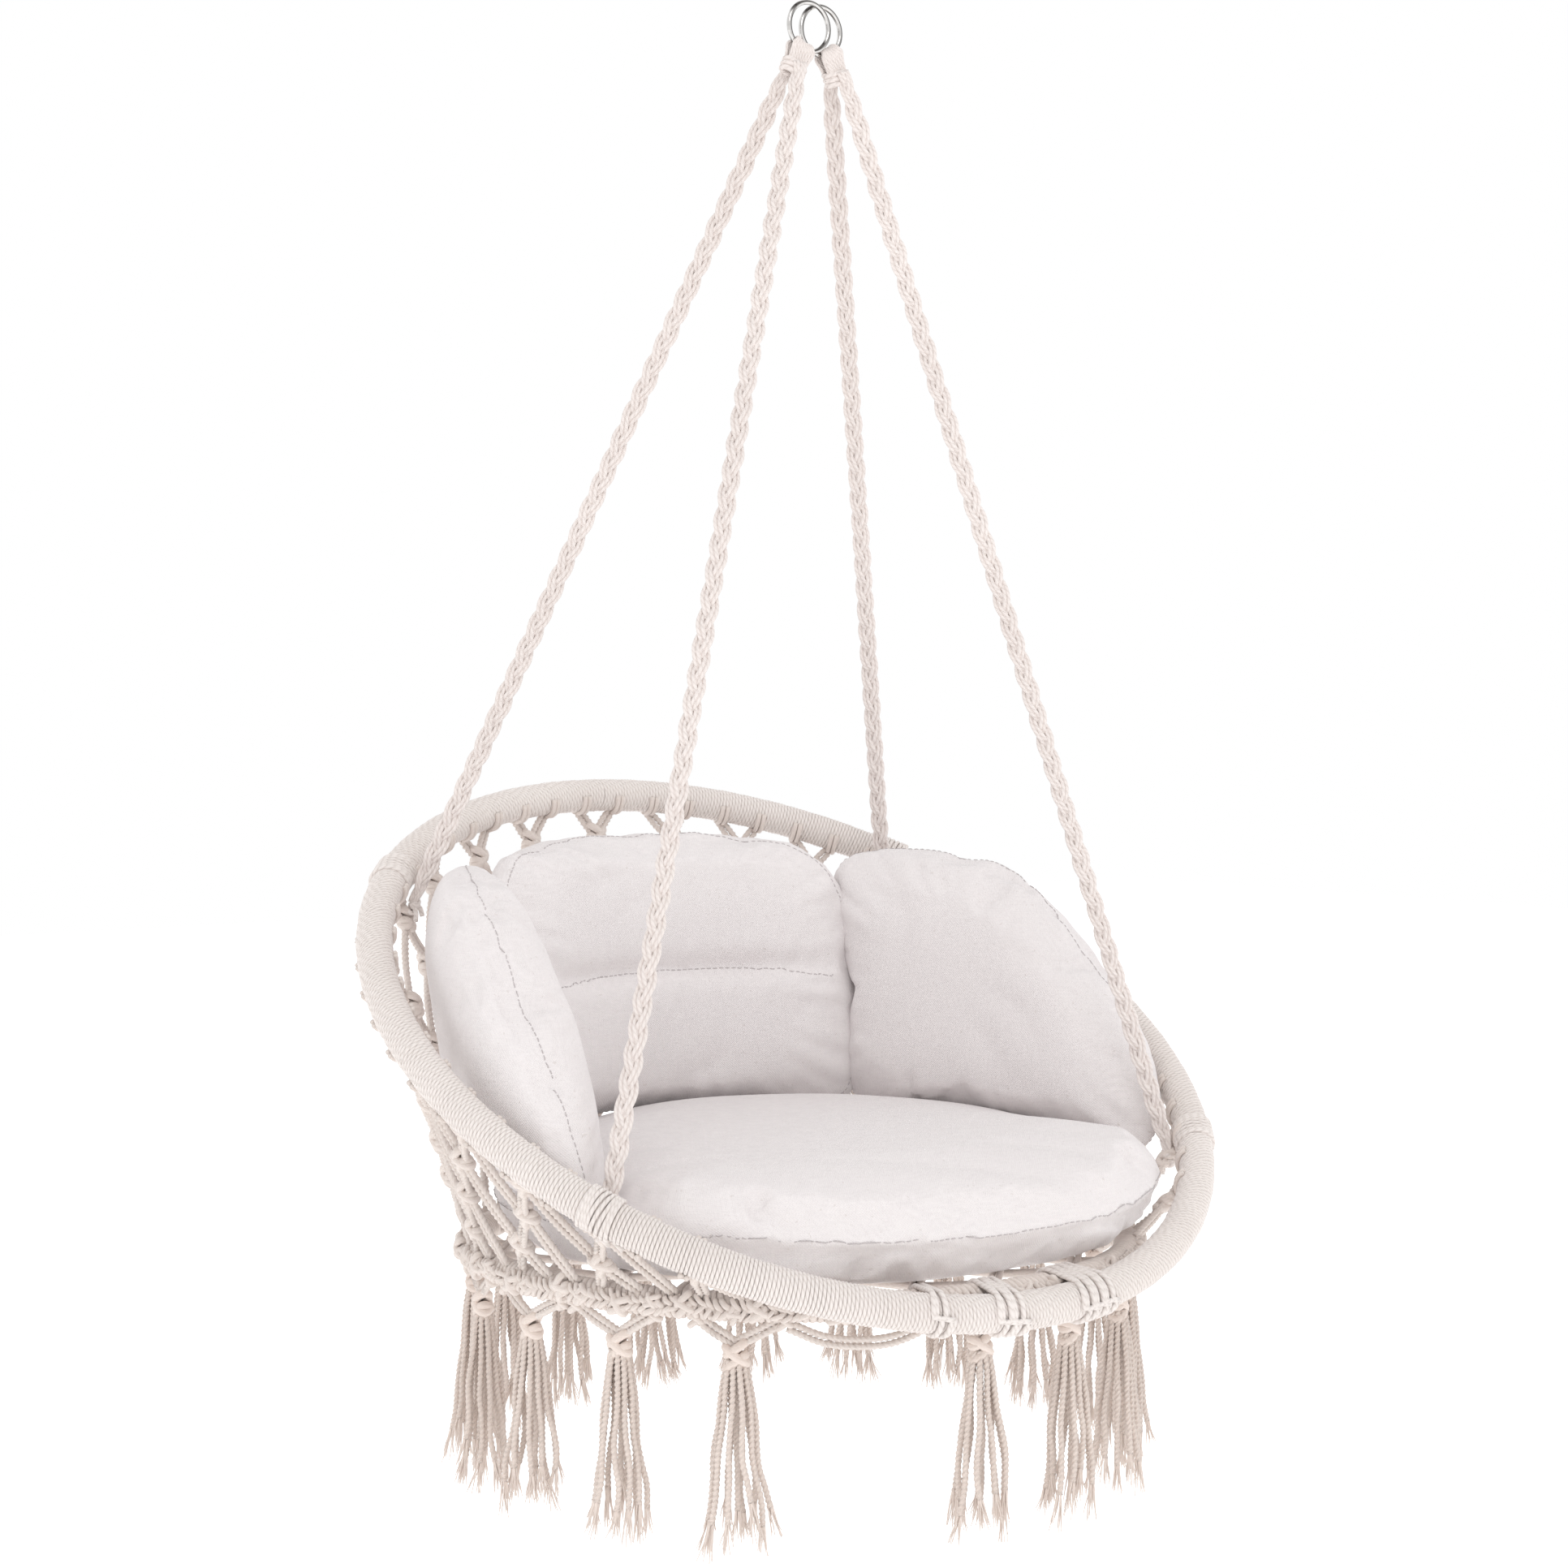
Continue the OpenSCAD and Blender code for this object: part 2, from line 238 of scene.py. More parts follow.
class Mesh:
    """Gathers grids of points as faces with UVs, and makes one object of them."""

    def __init__(self):
        self.points, self.corners, self.sizes, self.uvs = [], [], [], []
        self.total = 0

    def _faces(self, corners, uv):
        self.corners.append(corners.ravel())
        self.sizes.append(np.full(len(corners), corners.shape[1]))
        self.uvs.append(uv.reshape(-1, 2))

    def grid(self, points, u, v, close_rows=False, caps=True):
        """points[row, column]: columns go round a section and close, rows run along."""
        rows, columns = points.shape[:2]
        index = self.total + np.arange(rows * columns).reshape(rows, columns)
        self.points.append(points.reshape(-1, 3))
        self.total += rows * columns
        ring = np.hstack([index, index[:, :1]])
        if close_rows:
            ring = np.vstack([ring, ring[:1]])
        a, b, c, d = ring[:-1, :-1], ring[:-1, 1:], ring[1:, 1:], ring[1:, :-1]
        uu, vv = np.meshgrid(u, v)
        uv = np.stack([uu, vv], -1)
        around = np.stack([uv[:-1, :-1], uv[:-1, 1:], uv[1:, 1:], uv[1:, :-1]], 2)
        self._faces(np.stack([a, b, c, d], -1).reshape(-1, 4), around)
        if caps and not close_rows:
            for row, order in ((0, -1), (rows - 1, 1)):
                corners = index[row][::order][None]
                self._faces(corners, np.tile([0.5, v[row]], (columns, 1)))

    def make(self, name, material):
        mesh = bpy.data.meshes.new(name)
        points = np.concatenate(self.points) * MM
        corners = np.concatenate(self.corners)
        sizes = np.concatenate(self.sizes)
        mesh.vertices.add(len(points))
        mesh.vertices.foreach_set("co", points.astype(np.float32).ravel())
        mesh.loops.add(len(corners))
        mesh.loops.foreach_set("vertex_index", corners.astype(np.int32))
        mesh.polygons.add(len(sizes))
        starts = np.concatenate([[0], np.cumsum(sizes)[:-1]])
        mesh.polygons.foreach_set("loop_start", starts.astype(np.int32))
        mesh.polygons.foreach_set("use_smooth", np.ones(len(sizes), bool))
        mesh.update(calc_edges=True)
        layer = mesh.uv_layers.new(name="UVMap")
        layer.data.foreach_set("uv", np.concatenate(self.uvs).astype(np.float32).ravel())
        mesh.materials.append(material)
        piece = bpy.data.objects.new(name, mesh)
        bpy.context.scene.collection.objects.link(piece)
        return piece


def section(plies, corners):
    """A cord's section: each corner's angle, and its radius as a share of the cord's.

    Several plies are touching circles, with the creases between them half filled.
    """
    angle = np.arange(plies * corners) / (plies * corners) * 2 * math.pi
    if plies == 1:
        return angle, np.ones(len(angle))
    reach = 1 / (1 + 1 / math.sin(math.pi / plies)) / math.sin(math.pi / plies)
    ply = 1 - reach
    off = (angle * plies / (2 * math.pi)) % 1
    off = np.minimum(off, 1 - off) * 2 * math.pi / plies
    root = np.sqrt(np.maximum(ply ** 2 - (reach * np.sin(off)) ** 2, 0))
    return angle, np.maximum(reach * np.cos(off) + root, 0.6)


def cord(mesh, path, radius, guide, plies=1, corners=8, lay=13.0, start=0.0, closed=False):
    """Sweeps a cord along a path. Several plies turn once round it every lay mm.

    corners counts them on each ply, and guide is the way the first corner faces.
    """
    path = np.asarray(path, float)
    if closed:
        tangent = unit(np.roll(path, -1, 0) - np.roll(path, 1, 0))
        steps = np.linalg.norm(np.roll(path, -1, 0) - path, axis=1)
        along = np.concatenate([[0], np.cumsum(steps)])
        lay = along[-1] / max(1, round(along[-1] / lay))
    else:
        tangent = unit(np.gradient(path, axis=0))
        steps = np.linalg.norm(np.diff(path, axis=0), axis=1)
        along = np.concatenate([[0], np.cumsum(steps)])
    v = along
    along = along[:len(path)]
    guide = np.broadcast_to(np.asarray(guide, float), path.shape)
    first = unit(guide - (guide * tangent).sum(1, keepdims=True) * tangent)
    second = np.cross(tangent, first)
    angle, shape = section(plies, corners)
    turn = angle[None] + start
    if plies > 1:
        turn = turn + 2 * math.pi * along[:, None] / lay
    reach = np.broadcast_to(np.asarray(radius, float), along.shape)[:, None] * shape[None]
    ring = (np.cos(turn) * reach)[..., None] * first[:, None]
    ring = ring + (np.sin(turn) * reach)[..., None] * second[:, None]
    u = np.concatenate([angle / (2 * math.pi), [1]])
    mesh.grid(path[:, None] + ring, u, v * MM, close_rows=closed)


def curve_through(points, spacing):
    """Points every spacing mm along a smooth line through the given ones."""
    points = np.asarray(points, float)
    ends = np.vstack([2 * points[0] - points[1], points, 2 * points[-1] - points[-2]])
    t = np.linspace(0, 1, 12, endpoint=False)[:, None]
    parts = []
    for p0, p1, p2, p3 in zip(ends, ends[1:], ends[2:], ends[3:]):
        parts.append(0.5 * (2 * p1 + (p2 - p0) * t + (2 * p0 - 5 * p1 + 4 * p2 - p3) * t ** 2
                            + (3 * p1 - p0 - 3 * p2 + p3) * t ** 3))
    line = np.vstack([*parts, points[-1:]])
    length = np.concatenate([[0], np.cumsum(np.linalg.norm(np.diff(line, axis=0), axis=1))])
    even = np.linspace(0, length[-1], max(3, round(length[-1] / spacing) + 1))
    return np.stack([np.interp(even, length, line[:, k]) for k in range(3)], 1)


# ---------------------------------------------------------------- materials

class Nodes:
    """Short forms for building a node material."""

    def __init__(self, name):
        self.material = bpy.data.materials.new(name)
        self.material.use_nodes = True
        self.tree = self.material.node_tree
        self.shader = self.tree.nodes["Principled BSDF"]

    def add(self, kind, inputs=(), **settings):
        node = self.tree.nodes.new(kind)
        for key, value in settings.items():
            setattr(node, key, value)
        for key, value in dict(inputs).items():
            if isinstance(value, bpy.types.NodeSocket):
                self.tree.links.new(value, node.inputs[key])
            else:
                node.inputs[key].default_value = value
        return node

    def math(self, operation, a, b=0.0, c=0.0):
        return self.add("ShaderNodeMath", {0: a, 1: b, 2: c}, operation=operation).outputs[0]

    def noise(self, vector, scale, detail=2.0):
        return self.add("ShaderNodeTexNoise",
                        {"Vector": vector, "Scale": scale, "Detail": detail}).outputs["Fac"]

    def mix(self, share, a, b):
        node = self.add("ShaderNodeMix", data_type="RGBA")
        for key, value in ((0, share), (6, a), (7, b)):
            if isinstance(value, bpy.types.NodeSocket):
                self.tree.links.new(value, node.inputs[key])
            else:
                node.inputs[key].default_value = value
        return node.outputs[2]

    def range(self, value, low, high, to_low=0.0, to_high=1.0):
        return self.add("ShaderNodeMapRange", {0: value, 1: low, 2: high, 3: to_low, 4: to_high}
                        ).outputs[0]

    def bump(self, height, distance, strength=1.0, under=None):
        inputs = {"Height": height, "Distance": distance, "Strength": strength}
        if under is not None:
            inputs["Normal"] = under
        return self.add("ShaderNodeBump", inputs).outputs[0]

    def link(self, output, name):
        self.tree.links.new(output, self.shader.inputs[name])

    def fixed(self, **values):
        for name, value in values.items():
            self.shader.inputs[name.replace("_", " ")].default_value = value


def rgba(red, green, blue):
    """An sRGB colour, 0 to 255, as Blender's linear one."""
    linear = [((c / 255 + 0.055) / 1.055) ** 2.4 for c in (red, green, blue)]
    return (*linear, 1.0)


def cotton(name, light, dark, plies=2, lay=7.0, depth=0.5):
    """Twisted cotton cord, with painted shade in the creases between its plies. UV: u goes round
    the cord and v runs along it, in metres.
    """
    n = Nodes(name)
    uv = n.add("ShaderNodeTexCoord").outputs["UV"]
    place = n.add("ShaderNodeTexCoord").outputs["Object"]
    split = n.add("ShaderNodeSeparateXYZ", {0: uv})
    u, v = split.outputs[0], split.outputs[1]
    # Plies as ridges that climb round the cord
    phase = n.math("MULTIPLY_ADD", v, 1 / (lay * MM), n.math("MULTIPLY", u, float(plies)))
    ridge = n.math("ABSOLUTE", n.math("SINE", n.math("MULTIPLY", phase, math.pi)))
    ridge = n.math("POWER", ridge, 0.6)
    # Fine fibres along the plies
    fibre_place = n.add("ShaderNodeCombineXYZ", {
        0: n.math("MULTIPLY", u, 26.0), 1: n.math("MULTIPLY", v, 420.0), 2: v}).outputs[0]
    fibre = n.noise(fibre_place, 1.0, 3.0)
    patch = n.noise(place, 9.0, 3.0)
    fleck = n.range(n.noise(place, 240.0, 1.0), 0.71, 0.76)
    # Painted shade: the creases between the plies are painted towards the dark colour, mixed with
    # the fibres' own tone
    shade = n.math("MULTIPLY_ADD", ridge, depth, n.math("MULTIPLY", fibre, 1 - depth))
    colour = n.mix(n.range(shade, 0.1, 0.7), dark, light)
    colour = n.mix(n.math("MULTIPLY", n.range(patch, 0.35, 0.75), 0.3), colour, dark)
    colour = n.mix(n.math("MULTIPLY", fleck, 0.12), colour, rgba(150, 128, 104))
    n.link(colour, "Base Color")
    normal = n.bump(ridge, 0.0009, depth)
    normal = n.bump(fibre, 0.0004, 0.3, normal)
    n.link(normal, "Normal")
    n.fixed(Roughness=0.95, Sheen_Weight=0.25, Sheen_Roughness=0.5, Specular_IOR_Level=0.2)
    return n.material


def canvas(name, light, dark):
    """Plain-woven cotton canvas, its threads laid by the way the cloth faces."""
    n = Nodes(name)
    place = n.add("ShaderNodeTexCoord").outputs["Object"]
    xyz = n.add("ShaderNodeSeparateXYZ", {0: place})
    normal = n.add("ShaderNodeSeparateXYZ", {
        0: n.add("ShaderNodeTexCoord").outputs["Normal"]})
    threads = []
    for axis in range(3):
        jitter = n.noise(place, 60.0, 1.0)
        phase = n.math("MULTIPLY_ADD", xyz.outputs[axis], 2 * math.pi / 0.0022,
                       n.math("MULTIPLY", jitter, 3.0))
        threads.append(n.math("SINE", phase))
    weave = None
    for axis in range(3):
        warp, weft = threads[(axis + 1) % 3], threads[(axis + 2) % 3]
        facing = n.math("POWER", normal.outputs[axis], 2.0)
        part = n.math("MULTIPLY", n.math("MULTIPLY", warp, weft), facing)
        weave = part if weave is None else n.math("ADD", weave, part)
    slub_along = n.add("ShaderNodeMapping", {"Vector": place, "Scale": (90, 90, 900)})
    slub_across = n.add("ShaderNodeMapping", {"Vector": place, "Scale": (900, 300, 60)})
    slub = n.math("ADD", n.noise(slub_along.outputs[0], 1.0, 1.0),
                  n.noise(slub_across.outputs[0], 1.0, 1.0))
    patch = n.noise(place, 5.0, 3.0)
    fleck = n.range(n.noise(place, 330.0, 0.0), 0.78, 0.81)
    shade = n.math("MULTIPLY_ADD", weave, 0.2, n.math("MULTIPLY", slub, 0.42))
    colour = n.mix(n.range(shade, 0.2, 0.8), dark, light)
    colour = n.mix(n.math("MULTIPLY", n.range(patch, 0.3, 0.8), 0.3), colour, dark)
    colour = n.mix(n.math("MULTIPLY", fleck, 0.15), colour, rgba(150, 130, 110))
    n.link(colour, "Base Color")
    bump = n.bump(weave, 0.0004, 0.5)
    bump = n.bump(slub, 0.0004, 0.3, bump)
    n.link(bump, "Normal")
    n.fixed(Roughness=0.92, Sheen_Weight=0.2, Sheen_Roughness=0.5, Specular_IOR_Level=0.2)
    return n.material


def metal(name, colour, roughness, metallic=1.0, room=0.6):
    """Plated or coated steel, with faint wear in its polish, and on metallic steel a painted
    reflection of a room in its colour.
    """
    n = Nodes(name)
    place = n.add("ShaderNodeTexCoord").outputs["Object"]
    wear = n.noise(place, 260.0, 4.0)
    n.link(n.range(wear, 0.3, 0.8, roughness * 0.7, roughness * 1.6), "Roughness")
    # Painted reflection: the dark and bright of a room painted into the steel's colour, laid by the
    # way the steel faces, on metallic steel only
    facing = n.add("ShaderNodeSeparateXYZ", {0: n.add("ShaderNodeTexCoord").outputs["Normal"]})
    reflection_bands = n.math("MULTIPLY_ADD", facing.outputs[2], 4.2,
                   n.math("MULTIPLY", facing.outputs[0], 2.6))
    dark = n.range(n.math("SINE", n.math("ADD", reflection_bands, room)), 0.1, 0.9)
    steel = n.mix(n.math("MULTIPLY", dark, metallic), colour, rgba(66, 62, 60))
    n.link(n.mix(n.range(wear, 0.45, 0.7, 0, 0.3), steel, rgba(160, 156, 152)), "Base Color")
    n.link(n.bump(wear, 0.00002, 0.4), "Normal")
    n.fixed(Metallic=metallic)
    return n.material


wrap_cotton = cotton("wrap_cotton", rgba(235, 228, 224), rgba(207, 197, 191), 2, 6.5, 0.5)
rope_cotton = cotton("rope_cotton", rgba(235, 227, 223), rgba(209, 198, 193), 2, 6.0, 0.35)
net_cotton = cotton("net_cotton", rgba(235, 226, 220), rgba(203, 190, 182), 3, 90.0, 0.12)
tassel_cotton = cotton("tassel_cotton", rgba(238, 226, 218), rgba(212, 196, 186), 3, 90.0, 0.12)
cushion_canvas = canvas("cushion_canvas", rgba(239, 234, 233), rgba(225, 219, 219))
seam_thread = cotton("seam_thread", rgba(206, 199, 199), rgba(176, 168, 168), 2, 2.0, 0.4)
ring_chrome = metal("ring_chrome", rgba(214, 212, 210), 0.09)
tube_coat = metal("tube_coat", rgba(214, 206, 200), 0.5, 0.0)


def waves(x, seed, lengths):
    """Smooth noise along x, from -1 to 1, with the given wavelengths."""
    own = np.random.default_rng(seed)
    total = sum(np.sin(2 * math.pi * (x / w + own.random())) for w in lengths)
    return total / len(lengths)


# ---------------------------------------------------------------- camera

def look_back(azimuth, elevation):
    """From what the camera sees back towards the camera."""
    a, e = math.radians(azimuth), math.radians(elevation)
    return Vector((math.sin(a) * math.cos(e), -math.cos(a) * math.cos(e), math.sin(e)))


def make_camera():
    data = bpy.data.cameras.new("camera")
    data.sensor_width = 36
    data.lens = 18 / math.tan(math.radians(CAMERA_VIEW) / 2)
    data.clip_start, data.clip_end = 0.05, 60
    camera = bpy.data.objects.new("camera", data)
    camera.location = Vector(CAMERA_PLACE) * MM
    camera.rotation_mode = "QUATERNION"
    back = look_back(CAMERA_AZIMUTH, CAMERA_ELEVATION)
    camera.rotation_quaternion = (-back).to_track_quat("-Z", "Y")
    bpy.context.scene.collection.objects.link(camera)
    bpy.context.scene.camera = camera


make_camera()


# ---------------------------------------------------------------- rings and heads

def make_ring(side, name):
    """A steel ring, which faces along Y."""
    turn = np.linspace(0, 2 * math.pi, 120, endpoint=False)
    path = ring_centre(side) + RING_R * np.stack(
        [np.cos(turn), np.zeros_like(turn), np.sin(turn)], 1)
    # The weld where the wire's ends meet
    weld = 1 + 0.05 * np.exp(-((turn - 0.9) / 0.05) ** 2)
    mesh = Mesh()
    cord(mesh, path, WIRE_R * weld, [0, 1, 0], corners=20, closed=True)
    piece = mesh.make(f"ring_{name}", ring_chrome)
    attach(piece, "rings")
    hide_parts(f"hanging_ring_{name}")


def make_strand_loops(side, name):
    """Strands folded over the ring's wire, both legs gathered into the whipping."""
    mesh = Mesh()
    for layer, clearance in enumerate(HEAD_CLEARANCE):
        reach = WIRE_R + HEAD_STRAND_R + clearance
        for i in range(HEAD_STRANDS - layer):
            share = (i + layer / 2) / (HEAD_STRANDS - 1) * 2 - 1
            turn = side * RING_LEAN + HEAD_FAN * share
            down = np.array([math.sin(turn), 0, -math.cos(turn)])
            wire = ring_centre(side) + RING_R * down
            points = []
            for leg in (-1, 1):
                low = head_point(side, WHIP_BOTTOM - 3, 8.5 * share, leg * (3.2 + 2 * layer))
                high = head_point(side, WHIP_TOP - 1, 9.5 * share, leg * (3.4 + 2 * layer))
                shoulder = wire + down * 4 + [0, leg * (reach + 0.4), 0]
                points.append([low, high, shoulder, wire + [0, leg * reach, 0]])
            over = [wire + reach * (np.array([0, math.cos(t), 0]) - down * math.sin(t))
                    for t in np.radians([135, 90, 45])]
            path = curve_through([*points[0], *over, *points[1][::-1]], 1.5)
            across = np.cross(down, [0, 1, 0])
            cord(mesh, path, HEAD_STRAND_R, across, corners=8, start=i)
    piece = mesh.make(f"folded_strands_{name}", rope_cotton)
    z = ring_centre(side)[2] - RING_R
    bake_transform(piece)
    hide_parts(f"strand_loop_{name}")


def stadium_path(side, d, width, depth, turns, pitch, slant=0.0):
    """A helix round a rope head, with a stadium-shaped section."""
    t = np.linspace(0, turns * 2 * math.pi, turns * 40 + 1)
    half = (width - depth) / 2
    x = np.clip(np.cos(t) * width / 2 * 1.05, -width / 2, width / 2)
    lobe = np.sqrt(np.maximum(0, 1 - (np.maximum(np.abs(x) - half, 0) / (depth / 2)) ** 2))
    y = np.sign(np.sin(t)) * lobe * depth / 2
    y = np.where(np.abs(np.sin(t)) < 0.05, y * np.abs(np.sin(t)) / 0.05, y)
    drop = d + pitch * t / (2 * math.pi) + slant * x
    return np.array([head_point(side, drop[i], x[i], y[i]) for i in range(len(t))])


def make_whipping(side, name):
    """Turns of cord that bind a rope head."""
    mesh = Mesh()
    middle = head_point(side, (WHIP_TOP + WHIP_BOTTOM) / 2)
    path = stadium_path(side, WHIP_TOP + 2.5, 21, 13.5, WHIP_TURNS, WHIP_PITCH, 0.04)
    cord(mesh, path, WHIP_CORD_R, path - middle, corners=9)
    piece = mesh.make(f"whipping_cord_{name}", rope_cotton)
    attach(piece, "chair")
    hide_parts(f"whipping_{name}")


# ---------------------------------------------------------------- ropes

def rope_ends(side, back):
    """Top and foot of a rope's centre line, and the rim's inward direction at its foot."""
    angle = side * ROPE_ANGLE[back]
    top = head_point(side, WHIP_BOTTOM, 0, back * STRAND_SPREAD)
    middle = rim_point(angle)
    across = unit(np.cross(rim_along(angle), middle - top))
    if across @ [-middle[0], -middle[1], 0] < 0:
        across = -across
    return top, middle + across * ROPE_REACH, across


def make_rope(side, back, name):
    """A three-strand plait. Each strand is a core cord with CORDS_IN_STRAND cords round it."""
    top, foot, across = rope_ends(side, back)
    line = unit(foot - top)
    start = top - line * 9
    length = np.linalg.norm(foot - start) + 14
    s = np.arange(0, length, 3.6)
    wide = unit(np.cross(line, unit(np.array(CAMERA_PLACE) - foot)))
    deep = np.cross(line, wide)
    # The plait turns a little one way and the other as it hangs
    roll = math.radians(28) * waves(s, 31 * side + 7 * back + 50, (900, 1500))
    wide_at = np.cos(roll)[:, None] * wide + np.sin(roll)[:, None] * deep
    deep_at = np.cos(roll)[:, None] * deep - np.sin(roll)[:, None] * wide
    centre = start + s[:, None] * line
    # The head gathers the plait, and its foot is pinched under the hitch
    pinch = 1 - 0.35 * np.exp(-(s / 25) ** 2) - 0.6 * np.exp(-((length - s) / 26) ** 2)
    mesh = Mesh()
    for strand in range(3):
        phase = 2 * math.pi * (s / PLAIT_PERIOD + strand / 3)
        x = PLAIT_SWING * np.sin(phase)
        y = PLAIT_RISE * np.sin(2 * phase)
        slope = np.arctan2(PLAIT_SWING * np.cos(phase) * 2 * math.pi / PLAIT_PERIOD, 1)
        core = centre + (x * pinch)[:, None] * wide_at + (y * pinch)[:, None] * deep_at
        cord(mesh, core, PLAIT_CORE_R * pinch, deep_at)
        for k in range(CORDS_IN_STRAND):
            beta = 2 * math.pi * (k + 0.5) / CORDS_IN_STRAND + 0.35 * np.sin(phase)
            ox = 2.55 * np.cos(beta) / np.cos(slope)
            oy = 1.7 * np.sin(beta)
            path = (centre + ((x + ox) * pinch)[:, None] * wide_at
                    + ((y + oy) * pinch)[:, None] * deep_at)
            loose = 0.25 * waves(s, 97 * k + strand + 5, (23, 41))
            path = path + loose[:, None] * wide_at
            cord(mesh, path, PLAIT_CORD_R, deep_at, start=k)
    piece = mesh.make(f"plaited_rope_{name}", rope_cotton)
    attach(piece, "chair")
    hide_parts(f"rope_{name}")


def belt(first, first_r, second, second_r, along, offset, slant, points=44):
    """A closed loop round two parallel bars, with centres first and second."""
    span = second - first
    x = unit(span - (span @ along) * along)
    y = np.cross(along, x)
    reach = span @ x
    lift = math.asin((first_r - second_r) / reach)
    half = points // 2
    loop = []
    for t in np.linspace(math.pi / 2 - lift, 3 * math.pi / 2 + lift, half):
        loop.append((first_r * math.cos(t), first_r * math.sin(t)))
    for t in np.linspace(-math.pi / 2 + lift, math.pi / 2 - lift, points - half):
        loop.append((reach + second_r * math.cos(t), second_r * math.sin(t)))
    loop = np.array(loop)
    drift = offset + slant * (loop[:, 0] / reach - 0.5) * np.sign(loop[:, 1] + 1e-9)
    return first + loop[:, :1] * x + loop[:, 1:] * y + drift[:, None] * along


def make_hitch(side, back, name):
    """A band of thicker cord round the rim at a rope's foot, and the knot under it."""
    angle = side * ROPE_ANGLE[back]
    top, foot, across = rope_ends(side, back)
    middle = rim_point(angle)
    along = rim_along(angle)
    mesh = Mesh()
    t = np.linspace(0, 2 * math.pi, 40, endpoint=False)
    r = RIM_COVER_R + 0.7
    for i in range(HITCH_TURNS):
        offset = (i - (HITCH_TURNS - 1) / 2) * HITCH_PITCH
        loop = (middle + r * np.cos(t)[:, None] * rim_out(angle) + r * np.sin(t)[:, None] * RIM_UP
                + (offset + 1.4 * np.cos(t + i))[:, None] * along)
        cord(mesh, loop, HITCH_CORD_R, loop - middle, closed=True)
    # The rope's cords end in a small knot under the rim, with two short tails
    line = unit(foot - top)
    below = foot + line * 15 + across * 2
    knot(mesh, below, line, across, HITCH_KNOT)
    for k, way in ((0, along), (1, -0.3 * along)):
        bend = [below, below + across * 5 + way * 9,
                below + across * 7 + way * 16 - [0, 0, 5 * k + 3]]
        cord(mesh, curve_through(bend, 2.5), 2.2, across)
    piece = mesh.make(f"hitch_cord_{name}", wrap_cotton)
    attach(piece, "chair")
    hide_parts(f"hitch_{name}")


def knot(mesh, centre, down, out, size):
    """A square knot: three tilted turns of cord round the cords that run down through it."""
    across = np.cross(down, out)
    t = np.linspace(0, 2 * math.pi, 18, endpoint=False)
    for tilt, drop, scale in ((0.45, -0.42, 0.9), (-0.5, 0.0, 1.0), (0.45, 0.42, 0.88)):
        ring = (np.cos(t)[:, None] * across * 0.66 + np.sin(t)[:, None] * out * 0.46) * size * scale
        height = (drop + tilt * np.cos(t)) * size
        cord(mesh, centre + ring + height[:, None] * down, size * 0.31, ring, closed=True)


# ---------------------------------------------------------------- hoops

def wind(mesh, point, out, up, first, last, pitch, centre_r, cord_r, per_turn, corners, sway=0.0):
    """A cord wound round a hoop from one angle to another."""
    hoop_r = np.linalg.norm(point(0) - point(180)) / 2
    turns = math.radians(last - first) * hoop_r / pitch
    t = np.linspace(0, turns, round(turns * per_turn) + 1)
    angle = first + (last - first) * t / turns
    psi = 2 * math.pi * t
    if sway:
        angle = angle + np.degrees(sway / hoop_r) * np.cos(psi + 1.0)
    lump = waves(t, round(first) + 900, (3.7, 7.9, 17.0))
    r = centre_r + 0.25 * lump
    path = point(angle, r * np.cos(psi), r * np.sin(psi))
    guide = out(angle) * np.cos(psi)[:, None] + up * np.sin(psi)[:, None]
    cord(mesh, path, cord_r * (1 + 0.04 * lump), guide, corners=corners)


def make_rim():
    """The cord wound round the rim, in four pieces that overlap by a hair."""
    for i, first in enumerate((-180, -90, 0, 90)):
        mesh = Mesh()
        wind(mesh, rim_point, rim_out, RIM_UP, first, first + 90.05, RIM_PITCH,
             RIM_COVER_R - 1.8, RIM_CORD_R, 20, 7, 1.3)
        piece = mesh.make(f"rim_winding_{i + 1}", wrap_cotton)
        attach(piece, "chair")
    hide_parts("rim_wrapping")


def make_base():
    """The base hoop's winding, with the band that the net's cords are hitched to."""
    mesh = Mesh()
    wind(mesh, base_point, base_out, BASE_UP, -180, 180, BASE_PITCH,
         BASE_COVER_R - BASE_CORD_R, BASE_CORD_R, 22, 8, 4.0)
    # Half hitches along the outside, laid unevenly, with a lump at each net cord
    a = 360 * np.arange(BAND_HITCHES) / BAND_HITCHES
    lean = 4.5 + 3.5 * waves(a, 41, (7.3, 19, 31))
    middle = 3.0 * waves(a, 42, (5.1, 11, 23))
    for i in range(BAND_HITCHES):
        size = 2.1 + 0.7 * max(0.0, math.cos(math.radians(a[i] * NET_COLUMNS))) ** 3
        for s in (-1, 1):
            ends = base_point(a[i] + np.array([-0.55, 0, 0.75]) * s * (1 if i % 3 else 1.7),
                              np.array([10.5, 13.2 + 0.5 * (i % 2), 11.0]),
                              middle[i] + s * 3.2 + np.array([1, 0, -1]) * lean[i] * 0.8)
            cord(mesh, curve_through(ends, 1.8), size, base_out(a[i]), corners=6)
    # Uneven knots, two to each column of the net
    for i in range(2 * NET_COLUMNS):
        spot = i * NET_PITCH / 2 + 1.3 * math.sin(i * 2.7)
        out = base_out(spot)
        lean = unit(BASE_UP + 0.5 * math.sin(i * 1.3) * np.cross(BASE_UP, out))
        knot(mesh, base_point(spot, 11.5, 4.0 * math.sin(i * 1.9)), lean, out,
             BAND_KNOT + 1.5 * math.sin(i * 3.1))
    piece = mesh.make("base_knotted_band", net_cotton)
    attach(piece, "chair")
    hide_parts("base_knot_cover")


